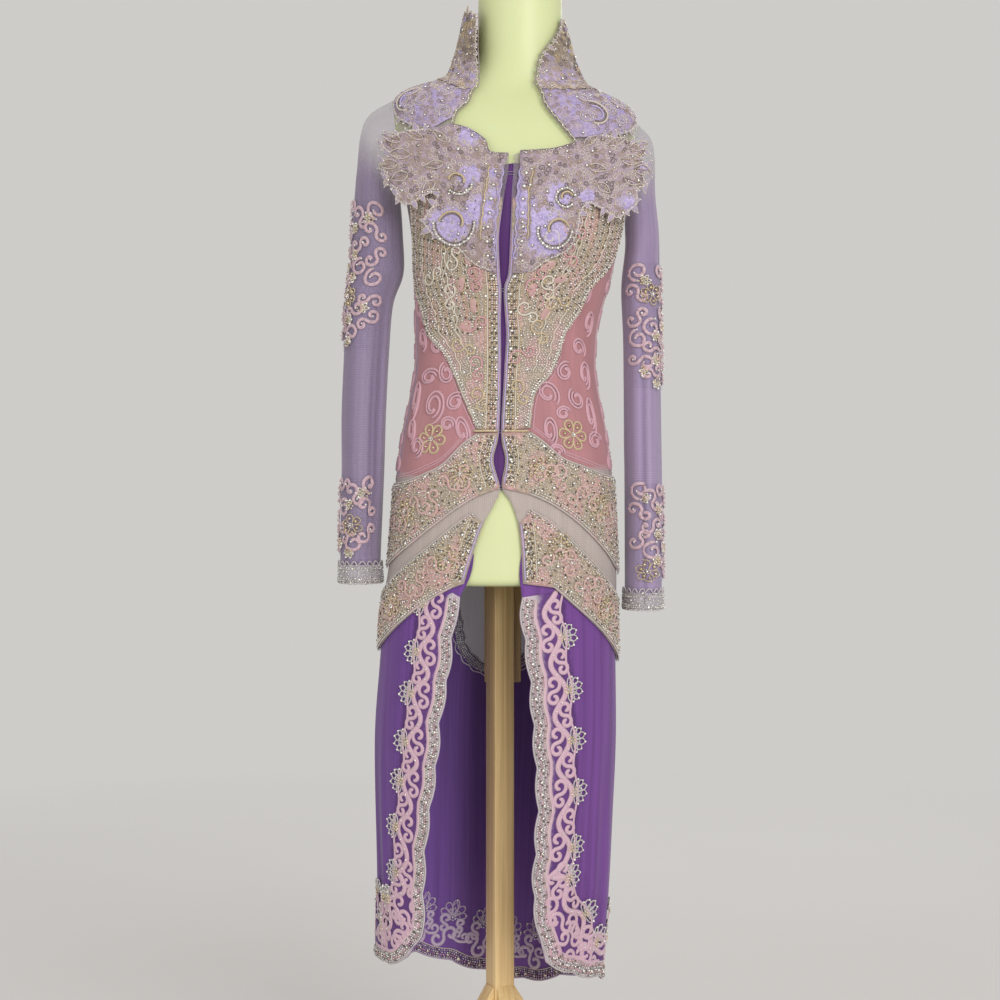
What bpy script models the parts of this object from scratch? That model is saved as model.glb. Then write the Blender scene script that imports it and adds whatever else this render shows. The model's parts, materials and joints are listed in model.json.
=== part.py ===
"""A long kebaya worn on a limbless dress form with a wooden stand.

Metres, +Z up. The floor is z = 0 and the stand's post rises from the origin. The garment faces -Y, so the
wearer's right is at -X. Every cloth wall is a flat pattern piece, drawn as degrees round the body against height,
cut along one shared net of lines and then laid on the garment's surface.
"""
import math

import bmesh
import bpy
from mathutils import Vector

# ---------------------------------------------------------------- driving sizes
FORM_BOTTOM = 0.749
EDGE_ROUND = 0.010          # of the form's lower edge
DOME_FROM, DOME_TALL, DOME_INSET = 1.514, 0.016, 0.016  # the neck's rounded top
FORM_CLEARANCE = 0.0055     # from the garment's surface in to the form
WALL = 0.0012               # one layer of lined cloth
LACE = 0.0010               # one layer of lace or net
SEAM_GAP = 0.0003           # between two pieces that meet
DEGREE = 0.00227            # metres round the body for one degree, at its usual radius
SIDE_SEAM = 89.93           # degrees round: the seam is at 90, with half of its slit on each side

# How far each layer's inner face lies from the garment's surface.
UNDERLAY_AT = -0.0046
HOOK_AT = -0.0025
SKIRT_AT = -0.0032
BODICE_AT = -0.0013
TRIM_AT = 0.0008            # lace sewn on the bodice
SKIRT_TRIM_AT = -0.0013     # lace sewn on the skirt
CHEST_AT = 0.0026           # the stiff chest lace, over everything else

# height, half width, front depth, back depth, centre x, squareness (2 is an ellipse)
BODY = (
    (0.200, 0.1480, 0.1190, 0.1130, -0.0180, 2.10),
    (0.263, 0.1478, 0.1190, 0.1130, -0.0143, 2.10),
    (0.347, 0.1517, 0.1190, 0.1140, -0.0104, 2.10),
    (0.460, 0.1560, 0.1190, 0.1150, -0.0085, 2.10),
    (0.560, 0.1580, 0.1180, 0.1150, -0.0058, 2.15),
    (0.658, 0.1550, 0.1160, 0.1140, -0.0026, 2.15),
    (0.714, 0.1528, 0.1130, 0.1130, -0.0013, 2.15),
    (0.770, 0.1485, 0.1080, 0.1120, 0.0032, 2.15),
    (0.827, 0.1446, 0.1050, 0.1100, 0.0045, 2.15),
    (0.885, 0.1410, 0.0990, 0.1040, 0.0052, 2.15),
    (0.941, 0.1335, 0.0920, 0.0950, 0.0056, 2.15),
    (0.985, 0.1245, 0.0860, 0.0880, 0.0060, 2.15),
    (1.026, 0.1180, 0.0830, 0.0840, 0.0065, 2.15),
    (1.082, 0.1190, 0.0900, 0.0850, 0.0085, 2.20),
    (1.139, 0.1270, 0.1070, 0.0900, 0.0160, 2.30),
    (1.195, 0.1355, 0.1230, 0.0970, 0.0205, 2.35),
    (1.240, 0.1430, 0.1200, 0.1000, 0.0205, 2.35),
    (1.290, 0.1560, 0.1060, 0.1000, 0.0195, 2.40),
    (1.325, 0.1610, 0.0930, 0.0950, 0.0190, 2.40),
    (1.350, 0.1580, 0.0810, 0.0870, 0.0190, 2.35),
    (1.366, 0.1440, 0.0720, 0.0790, 0.0195, 2.25),
    (1.378, 0.1200, 0.0650, 0.0720, 0.0205, 2.15),
    (1.388, 0.0960, 0.0610, 0.0670, 0.0220, 2.05),
    (1.400, 0.0770, 0.0595, 0.0640, 0.0240, 2.00),
    (1.416, 0.0660, 0.0590, 0.0615, 0.0255, 2.00),
    (1.440, 0.0610, 0.0595, 0.0600, 0.0260, 2.00),
    (1.540, 0.0595, 0.0590, 0.0590, 0.0260, 2.00),
)

# Folds of the hanging skirt: degrees round, half spread in degrees, depth, height where it starts to show
SKIRT_FOLDS = (
    (-78, 9, -0.0060, 0.62),
    (-52, 8, 0.0040, 0.50),
    (47, 8, -0.0050, 0.56),
    (72, 9, 0.0050, 0.60),
    (104, 9, -0.0070, 0.60),
    (128, 8, 0.0060, 0.66),
    (150, 9, -0.0080, 0.60),
    (171, 8, 0.0060, 0.56),
    (192, 9, -0.0070, 0.64),
    (214, 9, 0.0070, 0.58),
    (236, 8, -0.0070, 0.66),
    (257, 9, 0.0050, 0.55),
)
FOLD_RUN = 0.30             # height over which a fold reaches its full depth

# Front edges of the two fronts: height, x on the wearer's right, x on the wearer's left
FRONT_EDGE = (
    (1.286, 0.0110, 0.0172),
    (1.263, 0.0100, 0.0163),
    (1.225, 0.0040, 0.0140),
    (1.182, -0.0013, 0.0125),
    (1.138, 0.0000, 0.0100),
    (1.118, 0.0018, 0.0046),
    (1.070, 0.0012, 0.0073),
    (1.020, 0.0012, 0.0052),
    (0.943, -0.0010, 0.0012),
    (0.907, -0.0080, 0.0063),
    (0.873, 0.0000, 0.0022),
    (0.854, -0.0060, 0.0138),
    (0.828, -0.0200, 0.0225),
    (0.801, -0.0300, 0.0260),
    (0.773, -0.0390, 0.0275),
    (0.753, -0.0450, 0.0285),
)
# The same edges on the hanging skirt
SKIRT_EDGE = (
    (0.790, -0.0330, 0.0270),
    (0.753, -0.0450, 0.0285),
    (0.7195, -0.0550, 0.0280),
    (0.678, -0.0615, 0.0325),
    (0.638, -0.0660, 0.0380),
    (0.5845, -0.0755, 0.0420),
    (0.532, -0.0800, 0.0455),
    (0.476, -0.0880, 0.0480),
    (0.422, -0.0945, 0.0450),
    (0.367, -0.0965, 0.0430),
    (0.313, -0.0975, 0.0500),
)

# The wearer's right shoulder stands higher: by this much, coming in between these heights and going out again
SHOULDER_LIFT, LIFT_FROM, LIFT_FULL, LIFT_GONE = 0.020, 1.200, 1.350, 1.440

# Outlines below are (degrees round from centre front, height); a side of -1 is the wearer's right.
NECKLINE = {-1: ((-1.8, 1.286), (-8.5, 1.288), (-10, 1.303), (-17, 1.317), (-25, 1.322)),
            1: ((1.0, 1.2895), (11, 1.292), (16, 1.295), (24, 1.303))}
NECK_SIDE = {-1: ((-25, 1.322), (-23, 1.341), (-19, 1.355), (-22, 1.373)),
             1: ((24, 1.303), (16, 1.330), (11, 1.355), (13, 1.379))}
NECK_RISE = {-1: ((-22, 1.373), (-42, 1.381), (-64, 1.387), (-SIDE_SEAM, 1.389)),
             1: ((13, 1.379), (36, 1.382), (64, 1.387), (SIDE_SEAM, 1.389))}
BACK_NECK = ((180 - SIDE_SEAM, 1.389), (112, 1.387), (140, 1.381), (180, 1.376))
BODICE_HEM = {-1: ((-22, 0.748), (-37, 0.727), (-54, 0.700), (-72, 0.676), (-SIDE_SEAM, 0.661)),
              1: ((24, 0.748), (38, 0.722), (55, 0.694), (72, 0.668), (SIDE_SEAM, 0.647))}
BAND_TOP = {-1: ((-15, 0.842), (-26, 0.822), (-40, 0.797), (-58, 0.771), (-76, 0.749), (-SIDE_SEAM, 0.740)),
            1: ((12, 0.846), (24, 0.828), (38, 0.800), (55, 0.769), (74, 0.742), (SIDE_SEAM, 0.728))}
SHEER_TOP = {-1: ((-13, 0.860), (-24, 0.843), (-38, 0.820), (-55, 0.796), (-76, 0.775), (-SIDE_SEAM, 0.768)),
             1: ((11, 0.864), (22, 0.852), (37, 0.830), (55, 0.800), (74, 0.772), (SIDE_SEAM, 0.760))}
PEPLUM_TOP = {-1: ((-13.5, 0.942), (-21, 0.930), (-32, 0.905), (-44, 0.893), (-60, 0.884), (-SIDE_SEAM, 0.880)),
              1: ((13, 0.944), (20, 0.932), (31, 0.912), (45, 0.902), (62, 0.893), (SIDE_SEAM, 0.888))}
BEADED_SIDE = {-1: ((-68, 1.243), (-74, 1.195), (-80, 1.150), (-74, 1.120), (-65, 1.100), (-56, 1.068), (-40, 1.042),
                    (-31, 1.014), (-26, 0.995), (-17.5, 0.962), (-13.5, 0.945)),
               1: ((76, 1.243), (78, 1.195), (70, 1.157), (52, 1.125), (47, 1.095), (38, 1.068), (34, 1.042),
                   (27, 1.014), (18, 0.995), (14.5, 0.973), (13, 0.947))}
SKIRT_HEM = {-1: ((-43, 0.285), (-55, 0.276), (-72, 0.270), (-SIDE_SEAM, 0.268)),
             1: ((27, 0.284), (48, 0.262), (60, 0.256), (75, 0.247), (SIDE_SEAM, 0.241))}
BACK_HEM = ((180 - SIDE_SEAM, 0.243), (130, 0.222), (165, 0.208), (190, 0.226), (225, 0.250), (180 + SIDE_SEAM, 0.266))
PEPLUM_BACK_HEM = ((180 - SIDE_SEAM, 0.647), (112, 0.664), (135, 0.706), (150, 0.726), (157, 0.700), (161, 0.655),
                   (170, 0.628), (180, 0.620), (190, 0.628), (199, 0.655), (203, 0.700), (210, 0.728),
                   (226, 0.710), (248, 0.676), (180 + SIDE_SEAM, 0.661))
CHEST_WING = {-1: ((-36, 1.314), (-48, 1.308), (-64, 1.290), (-58, 1.281), (-69, 1.266), (-62, 1.259), (-67, 1.247),
                   (-58, 1.241), (-60, 1.229), (-52.5, 1.222), (-45, 1.231), (-38, 1.240), (-40, 1.226), (-46, 1.206),
                   (-44.5, 1.192), (-38, 1.178), (-28, 1.168), (-24, 1.158), (-17, 1.147), (-10, 1.140)),
              1: ((36, 1.314), (48, 1.308), (60, 1.292), (57, 1.283), (66, 1.268), (60, 1.261), (66, 1.250),
                  (59, 1.243), (60, 1.226), (55, 1.214), (49, 1.206), (42, 1.216), (35, 1.224), (31, 1.212),
                  (30.5, 1.195), (28, 1.172), (22, 1.161), (15, 1.153), (9, 1.141))}
NECK_LACE_REACH = ((46, 1.379), (62, 1.384), (78, 1.386), (83, 1.378), (79, 1.362), (74, 1.345), (66, 1.328),
                   (50, 1.317), (38, 1.312))
COLLAR_TOP = ((-48, 1.477), (-58, 1.484), (-69, 1.487), (-90, 1.476), (-120, 1.480), (-180, 1.484),
              (-240, 1.480), (-270, 1.470), (-284, 1.476), (-293, 1.474))
# How far round each front edge of the collar lies, by its share of the collar's height
COLLAR_FRONT = {-1: ((0, -22), (0.2, -27), (0.5, -36), (0.8, -43), (1, -48)),
                1: ((0, 13), (0.2, 17), (0.4, 23), (0.55, 34), (0.8, 55), (1, 67))}
COLLAR_CENTRE, COLLAR_RADIUS, COLLAR_OUT = (0.0185, 0.0035), 0.0665, 0.0022
COLLAR_LEAN = 0.62          # it leans in fast at first: this power of its share of the height

# How far the ends of the chest lace stand out, sideways, forward and up
CHEST_FLARE = Vector((0.030, -0.016, 0.004))

# The armhole is an oval seen from the side; each is (height, depth) of its centre and its half sizes.
ARMHOLE = {-1: (1.302, 0.004, 0.050, 0.058), 1: (1.290, 0.004, 0.050, 0.056)}
# Sleeve rings, from the armhole down: centre x, centre y, centre z, tilt in degrees, half width, half depth
SLEEVE = {
    -1: ((-0.1540, 0.006, 1.306, 64, 0.0485, 0.048),
         (-0.1580, 0.008, 1.262, 36, 0.0350, 0.047),
         (-0.1590, 0.010, 1.212, 14, 0.0330, 0.046),
         (-0.1600, 0.012, 1.156, 4, 0.0345, 0.046),
         (-0.1700, 0.012, 1.112, 0, 0.0310, 0.045),
         (-0.1735, 0.010, 1.050, 0, 0.0292, 0.044),
         (-0.1770, 0.008, 0.970, 0, 0.0282, 0.043),
         (-0.1780, 0.006, 0.890, 0, 0.0265, 0.043),
         (-0.1810, 0.003, 0.784, 0, 0.0252, 0.043)),
    1: ((0.1825, 0.006, 1.279, 67, 0.0420, 0.047),
        (0.1825, 0.008, 1.238, 40, 0.0250, 0.046),
        (0.1850, 0.010, 1.190, 14, 0.0225, 0.046),
        (0.1830, 0.012, 1.135, 3, 0.0250, 0.046),
        (0.1845, 0.012, 1.070, 0, 0.0242, 0.045),
        (0.1850, 0.010, 1.000, 0, 0.0236, 0.044),
        (0.1855, 0.008, 0.930, 0, 0.0234, 0.043),
        (0.1860, 0.006, 0.880, 0, 0.0232, 0.043),
        (0.1860, 0.003, 0.750, 0, 0.0230, 0.043)),
}
CUFF_END = {-1: 0.750, 1: 0.716}
CUFF_EASE, CUFF_DEEP = 0.0004, 0.0435   # the sleeve's end is wider than its last ring by this, and this deep
# Lace on a sleeve: the rings it runs between, and the twelfths of the way round, 0 in front and 3 outside
SLEEVE_LACE = {"upper": {-1: (2, 6, -1, 4), 1: (3, 6, -1, 4)}, "lower": {-1: (8, 9, -1, 4), 1: (8, 9, -1, 4)}}
SLEEVE_COLUMNS, CUFF_HEIGHT = 12, 0.028
SLEEVE_LACE_OUT = 0.0021    # from the sleeve's own surface
HOOK_HEIGHTS = (1.262, 1.118, 0.943, 0.873)
HOOK_WIRE = 0.00035         # the wire's radius
HOOK_REACH, HOOK_RISE = 0.006, 0.0018   # how far a hook reaches past each front edge, and half its height

POST_SIDE, POST_TURN, POST_TOP = 0.028, 27.0, 0.800
RAIL_WIDTH, RAIL_THICKNESS, RAIL_LOW, RAIL_X = 0.048, 0.012, 0.618, 0.0035
LEG_REACH, LEG_HEIGHT, LEG_DEEP, LEG_WIDE = 0.270, 0.229, 0.036, 0.024
LEG_BOW, LEG_ROOT = 1.3, 0.075                  # how strongly a leg bows, and how much of it meets the post
LEG_UNDER, LEG_DROP, LEG_SOLE = 1.15, 0.25, 1.3  # its lower edge lies in and down, and its sole in, in board depths

UNDERLAY = ((12, 0.870), (12, 1.270), (0, 1.276), (-12, 1.270), (-12, 0.870))
COLLAR_COLUMNS, COLLAR_SHARES = 26, (0, 0.22, 0.48, 0.75, 1)

# The shared net that every pattern piece is cut on: a line every NET_DEGREES round the body, these heights,
# and one diagonal across each cell.
NET_DEGREES = 90 / 7
NET_HEIGHTS = (0.200, 0.320, 0.440, 0.550, 0.640, 0.705, 0.765, 0.840, 0.910, 0.970, 1.025, 1.085, 1.150, 1.210,
               1.265, 1.310, 1.345, 1.370, 1.389, 1.420)
SCALLOP, SCALLOP_DEPTH = 0.055, 0.004
TUCK, BACK_TUCK = 0.045, 0.010          # how far the skirt reaches up under the bodice
BORDER_HEIGHTS, BORDER_DEGREES = (0.420, 0.700), 23
BORDER_GAP, CORNER_GAP = 0.006, 0.004   # the border starts this far under the bodice's hem, and its corner this much more
EDGE_STEP, NECK_EDGE_STEP, CHEST_EDGE_STEP = 0.4, 1.0, 1.5  # degrees that lace stays back from the edge of the cloth
BAND_GAP = 0.002            # between the beaded panel and the band on the hip
HEM_LACE_TOP = {-1: ((-68, 0.378), (-78, 0.366), (-SIDE_SEAM, 0.362)), 1: ((56, 0.362), (70, 0.350), (SIDE_SEAM, 0.342))}
BACK_LACE_HEIGHT, TAIL_TRIM_WIDTH = 0.070, 0.013
SHORTEST = 0.03             # in net cells: shorter edges of a pattern piece are closed up
ARMHOLE_STEPS, ARMHOLE_INSET = 12, 0.0009


# ---------------------------------------------------------------- the surface
def hermite(rows, at):
    """The other columns of a table, read at a value of its first column, on a smooth curve."""
    ordered = rows if rows[0][0] < rows[-1][0] else tuple(reversed(rows))
    at = min(max(at, ordered[0][0]), ordered[-1][0])
    k = next(i for i in range(len(ordered) - 1) if at <= ordered[i + 1][0])
    low, high = ordered[k], ordered[k + 1]
    step = high[0] - low[0]
    t = (at - low[0]) / step

    def slope(i, column):
        a, b = ordered[max(i - 1, 0)], ordered[min(i + 1, len(ordered) - 1)]
        return (b[column] - a[column]) / (b[0] - a[0])

    values = []
    for column in range(1, len(low)):
        m0, m1 = slope(k, column) * step, slope(k + 1, column) * step
        values.append((2 * t**3 - 3 * t**2 + 1) * low[column] + (t**3 - 2 * t**2 + t) * m0
                      + (3 * t**2 - 2 * t**3) * high[column] + (t**3 - t**2) * m1)
    return values


def ease(share):
    """0 below 0, 1 above 1, and a smooth rise between."""
    share = min(max(share, 0), 1)
    return share * share * (3 - 2 * share)


def ring_point(degrees, z):
    """A point of the garment's surface: degrees round from centre front, at a height."""
    half, front, back, centre, square = hermite(BODY, z)
    angle = math.radians(degrees)
    s, c = math.sin(angle), math.cos(angle)
    power = 2 / square
    deep = front if c > 0 else back
    lift = SHOULDER_LIFT * ease((z - LIFT_FROM) / (LIFT_FULL - LIFT_FROM)) * max(-s, 0) ** 1.5
    lift *= 1 - ease((z - LIFT_FULL) / (LIFT_GONE - LIFT_FULL))
    return Vector((centre + half * math.copysign(abs(s) ** power, s),
                   -deep * math.copysign(abs(c) ** power, c), z + lift))


def fold(degrees, z):
    """How far the hanging cloth swings in or out there."""
    total = 0.0
    for middle, spread, depth, top in SKIRT_FOLDS:
        away = (degrees - middle + 180) % 360 - 180
        total += depth * ease((top - z) / FOLD_RUN) * math.exp(-((away / spread) ** 2))
    return total


def normal_at(degrees, z):
    small_turn, small_rise = 0.5, 0.0015
    across = ring_point(degrees + small_turn, z) - ring_point(degrees - small_turn, z)
    up = ring_point(degrees, z + small_rise) - ring_point(degrees, z - small_rise)
    return across.cross(up).normalized()


def surface(degrees, z, out):
    """The garment's surface moved out along its normal."""
    return ring_point(degrees, z) + normal_at(degrees, z) * (out + fold(degrees, z))


def chest_surface(degrees, z, out):
    """A wider, straighter sheet in front of the chest, whose ends pass in front of the sleeve heads."""
    near = surface(degrees, z, out)
    return near + Vector((math.copysign(CHEST_FLARE.x, degrees), *CHEST_FLARE.yz)) * ease((abs(degrees) - 30) / 40)


def net_units(degrees, z):
    """A place on the pattern in net cells: the lines of the net are at whole numbers."""
    row = max(i for i in range(len(NET_HEIGHTS) - 1) if i == 0 or z >= NET_HEIGHTS[i])
    return (degrees / NET_DEGREES, row + (z - NET_HEIGHTS[row]) / (NET_HEIGHTS[row + 1] - NET_HEIGHTS[row]))


def on_net(u, v, out, laid=surface):
    """The faceted surface: flat triangles between the places where the net's lines cross."""
    i, j = math.floor(u + 1e-9), min(math.floor(v + 1e-9), len(NET_HEIGHTS) - 2)
    across, up = u - i, v - j

    def crossing(di, dj):
        return laid((i + di) * NET_DEGREES, NET_HEIGHTS[j + dj], out)

    if across >= up:
        return crossing(0, 0) * (1 - across) + crossing(1, 0) * (across - up) + crossing(1, 1) * up
    return crossing(0, 0) * (1 - up) + crossing(0, 1) * (up - across) + crossing(1, 1) * across


def sewn(degrees, z, out):
    """A place on the faceted surface, given in degrees and height."""
    return on_net(*net_units(degrees, z), out)


def degrees_at(x, z):
    """The angle round the front half at which the surface has this x."""
    half, _, _, centre, square = hermite(BODY, z)
    share = min(abs(x - centre) / half, 1)
    return math.copysign(math.degrees(math.asin(share ** (square / 2))), x - centre)


# ---------------------------------------------------------------- pattern drafting
def curve_through(points, step):
    """Points about step apart on a smooth curve through the given (degrees, height) points."""
    made = []
    for k in range(len(points) - 1):
        before, a = points[max(k - 1, 0)], points[k]
        b, after = points[k + 1], points[min(k + 2, len(points) - 1)]
        long = math.hypot((b[0] - a[0]) * DEGREE, b[1] - a[1])
        count = max(1, round(long / step))
        for i in range(count):
            t = i / count
            made.append(tuple(
                0.5 * (2 * a[j] + (b[j] - before[j]) * t
                       + (2 * before[j] - 5 * a[j] + 4 * b[j] - after[j]) * t * t
                       + (3 * a[j] - before[j] - 3 * b[j] + after[j]) * t**3) for j in (0, 1)))
    return made + [tuple(points[-1])]


def scalloped(points, pitch, depth):
    """The line again with round scallops on its left-hand side, or its right with a negative depth."""
    lengths = [0.0]
    for a, b in zip(points, points[1:]):
        lengths.append(lengths[-1] + math.hypot((b[0] - a[0]) * DEGREE, b[1] - a[1]))
    pitch = lengths[-1] / max(1, round(lengths[-1] / pitch))
    made = []
    for k, point in enumerate(points):
        a, b = points[max(k - 1, 0)], points[min(k + 1, len(points) - 1)]
        along = Vector(((b[0] - a[0]) * DEGREE, b[1] - a[1])).normalized()
        out = depth * abs(math.sin(math.pi * lengths[k] / pitch))
        made.append((point[0] - along.y * out / DEGREE, point[1] + along.x * out))
    return made


def front_edge_line(table, side, low, high, step):
    """A front edge as (degrees, height), from low to high."""
    column = 1 if side < 0 else 2
    points = [(degrees_at(row[column], row[0]), row[0]) for row in sorted(table) if low <= row[0] <= high]
    return curve_through(points, step)


def armhole_line(side, count, first, last, inset=0.0):
    """The armhole's edge from one phase to another, in degrees of phase: 90 is its top, 0 its front."""
    middle_z, middle_y, half_y, half_z = ARMHOLE[side]
    made = []
    for k in range(count + 1):
        phase = math.radians(first + (last - first) * k / count)
        z = middle_z + (half_z - inset) * math.sin(phase)
        y = middle_y - (half_y - inset) * math.cos(phase)
        _, front, back, _, square = hermite(BODY, z)
        deep = front if y < 0 else back
        share = min(abs(y) / deep, 1) ** (square / 2)
        tilt = math.degrees(math.asin(share))
        made.append((side * (90 - math.copysign(tilt, -y)), z))
    return made


# ---------------------------------------------------------------- making pieces
def clear_scene():
    for obj in list(bpy.data.objects):
        bpy.data.objects.remove(obj, do_unlink=True)


def material(name, colour, roughness):
    made = bpy.data.materials.new(name)
    made.use_nodes = True
    shader = made.node_tree.nodes["Principled BSDF"]
    shader.inputs["Base Color"].default_value = (*colour, 1)
    shader.inputs["Roughness"].default_value = roughness
    return made


def add_object(name, mesh, finish, collection):
    obj = bpy.data.objects.new(name, mesh)
    obj.data.materials.append(finish)
    collection.objects.link(obj)
    mesh.shade_smooth()
    mesh.set_sharp_from_angle(angle=math.radians(40))
    return obj


def thicken(obj, thickness):
    wall = obj.modifiers.new("wall", "SOLIDIFY")
    wall.thickness = thickness
    wall.offset = 1
    return obj


def cut_on_net(mesh):
    """Cuts a flat pattern piece along the net, so that pieces laid on each other have the same facets."""
    for across in (Vector((1, 0, 0)), Vector((0, 1, 0)), Vector((-1, 1, 0))):
        reach = [vertex.co.dot(across) for vertex in mesh.verts]
        for line in range(math.ceil(min(reach)), math.floor(max(reach)) + 1):
            everything = mesh.verts[:] + mesh.edges[:] + mesh.faces[:]
            at = across * line / across.length_squared
            bmesh.ops.bisect_plane(mesh, geom=everything, plane_co=at, plane_no=across, dist=1e-4)


def pattern_piece(name, outline, out, thickness, finish, collection, laid=surface):
    """One cut and sewn piece: its outline is cut on the net, laid on the surface and given its thickness."""
    mesh = bmesh.new()
    corners = []
    for degrees, z in outline:
        point = Vector((*net_units(degrees, z), 0))
        if not corners or (point - corners[-1].co).length > SHORTEST:
            corners.append(mesh.verts.new(point))
    if (corners[0].co - corners[-1].co).length < SHORTEST:
        mesh.verts.remove(corners.pop())
    face = mesh.faces.new(corners)
    face.normal_update()
    if face.normal.z < 0:
        face.normal_flip()
    cut_on_net(mesh)
    bmesh.ops.dissolve_degenerate(mesh, dist=SHORTEST, edges=mesh.edges[:])
    bmesh.ops.triangulate(mesh, faces=mesh.faces[:])
    for vertex in mesh.verts:
        vertex.co = on_net(vertex.co.x, vertex.co.y, out, laid)
    data = bpy.data.meshes.new(name)
    mesh.to_mesh(data)
    mesh.free()
    return thicken(add_object(name, data, finish, collection), thickness)


def ring_tube(name, rings, thickness, finish, collection, closed=True):
    """A wall through rings of points, each ring a list of the same length."""
    columns, rows = len(rings[0]), len(rings)
    mesh = bmesh.new()
    bmesh.ops.create_grid(mesh, x_segments=columns - (0 if closed else 1), y_segments=rows - 1, size=1)
    for vertex in mesh.verts:
        column = round((vertex.co.x + 1) / 2 * (columns - (0 if closed else 1)))
        row = round((vertex.co.y + 1) / 2 * (rows - 1))
        vertex.co = rings[row][column % columns]
    bmesh.ops.remove_doubles(mesh, verts=mesh.verts[:], dist=1e-5)
    data = bpy.data.meshes.new(name)
    mesh.to_mesh(data)
    mesh.free()
    return thicken(add_object(name, data, finish, collection), thickness)


def closed_loft(name, rings, finish, collection):
    """A solid through rings of points, closed by a flat face at each end."""
    columns, rows = len(rings[0]), len(rings)
    mesh = bmesh.new()
    bmesh.ops.create_grid(mesh, x_segments=columns, y_segments=rows - 1, size=1)
    for vertex in mesh.verts:
        column = round((vertex.co.x + 1) / 2 * columns)
        row = round((vertex.co.y + 1) / 2 * (rows - 1))
        vertex.co = rings[row][column % columns]
    bmesh.ops.remove_doubles(mesh, verts=mesh.verts[:], dist=1e-5)
    bmesh.ops.holes_fill(mesh, edges=[e for e in mesh.edges if e.is_boundary], sides=0)
    bmesh.ops.recalc_face_normals(mesh, faces=mesh.faces[:])
    data = bpy.data.meshes.new(name)
    mesh.to_mesh(data)
    mesh.free()
    return add_object(name, data, finish, collection)


# ---------------------------------------------------------------- form and stand
def form_rings(columns):
    """Rings of the bare form: the garment's surface moved in, with the lower edge rounded and a domed neck."""
    heights = [z for z in NET_HEIGHTS if z > FORM_BOTTOM + EDGE_ROUND] + [1.455, DOME_FROM]
    low = min(heights)
    turns = [360 * k / columns for k in range(columns)]
    rings = [[surface_in(turn, low, FORM_BOTTOM, EDGE_ROUND) for turn in turns],
             [surface_in(turn, low, FORM_BOTTOM + EDGE_ROUND * 0.3, EDGE_ROUND * 0.3) for turn in turns]]
    rings += [[surface_in(turn, z, z, 0) for turn in turns] for z in heights]
    rings += [[surface_in(turn, DOME_FROM, DOME_FROM + DOME_TALL * 0.65, DOME_INSET * 0.3) for turn in turns],
              [surface_in(turn, DOME_FROM, DOME_FROM + DOME_TALL, DOME_INSET) for turn in turns]]
    return rings


def surface_in(degrees, z, placed_z, inset):
    point = ring_point(degrees, z) + normal_at(degrees, z) * -(FORM_CLEARANCE + inset)
    return Vector((point.x, point.y, placed_z if placed_z != z else point.z))


def make_form(finish, collection, cutters):
    form = closed_loft("dress_form", form_rings(40), finish, collection)
    hole, deep = POST_SIDE + 2 * SEAM_GAP, 0.100
    socket = box("socket_cutter", (hole, hole, deep), (0, 0, POST_TOP + SEAM_GAP - deep / 2), finish, cutters)
    socket.rotation_euler.z = math.radians(POST_TURN)
    socket.hide_render = True
    socket.display_type = "WIRE"
    cut = form.modifiers.new("socket", "BOOLEAN")
    cut.operation = "DIFFERENCE"
    cut.object = socket
    return form


def box(name, size, centre, finish, collection):
    mesh = bmesh.new()
    bmesh.ops.create_cube(mesh, size=1)
    bmesh.ops.scale(mesh, vec=Vector(size), verts=mesh.verts[:])
    data = bpy.data.meshes.new(name)
    mesh.to_mesh(data)
    mesh.free()
    obj = add_object(name, data, finish, collection)
    obj.location = centre
    return obj


def make_stand(finish, collection):
    post = box("stand_post", (POST_SIDE, POST_SIDE, POST_TOP), (0, 0, POST_TOP / 2), finish, collection)
    post.rotation_euler.z = math.radians(POST_TURN)
    tall = FORM_BOTTOM - SEAM_GAP - RAIL_LOW
    corner = POST_SIDE * math.sqrt(0.5) * math.sin(math.radians(45 + POST_TURN))
    box("stand_rail", (RAIL_WIDTH, RAIL_THICKNESS, tall),
        (RAIL_X, corner + SEAM_GAP + RAIL_THICKNESS / 2, RAIL_LOW + tall / 2), finish, collection)
    for k, name in enumerate(("leg_right", "leg_front", "leg_left", "leg_back")):
        leg = add_object(name, leg_mesh(name), finish, collection)
        leg.rotation_euler.z = math.radians(POST_TURN + 180 + 90 * k)


def leg_mesh(name):
    """A bowed board: its outer edge leaves the post steeply and runs out to the floor."""
    start, steps = POST_SIDE / 2 + SEAM_GAP, 6
    reach = LEG_REACH - start

    def outer(height):
        return start + reach * (1 - height / LEG_HEIGHT) ** LEG_BOW

    heights = [LEG_HEIGHT * k / steps for k in range(steps, -1, -1)]
    profile = [(outer(h), h) for h in heights]
    under = [(outer(h) - LEG_DEEP * LEG_UNDER, h - LEG_DEEP * LEG_DROP) for h in heights]
    under = [(x, h) for x, h in under if x > start + 0.004 and h > 0.012]
    low_end = [(outer(0) - LEG_DEEP * LEG_SOLE, 0.0)]
    high_end = [(start, LEG_HEIGHT - LEG_ROOT)]
    outline = profile + low_end + under[::-1] + high_end
    mesh = bmesh.new()
    face = mesh.faces.new([mesh.verts.new((x, -LEG_WIDE / 2, z)) for x, z in outline])
    raised = bmesh.ops.extrude_face_region(mesh, geom=[face])["geom"]
    bmesh.ops.translate(mesh, vec=(0, LEG_WIDE, 0), verts=[g for g in raised if isinstance(g, bmesh.types.BMVert)])
    bmesh.ops.recalc_face_normals(mesh, faces=mesh.faces[:])
    data = bpy.data.meshes.new(name)
    mesh.to_mesh(data)
    mesh.free()
    return data


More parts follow.
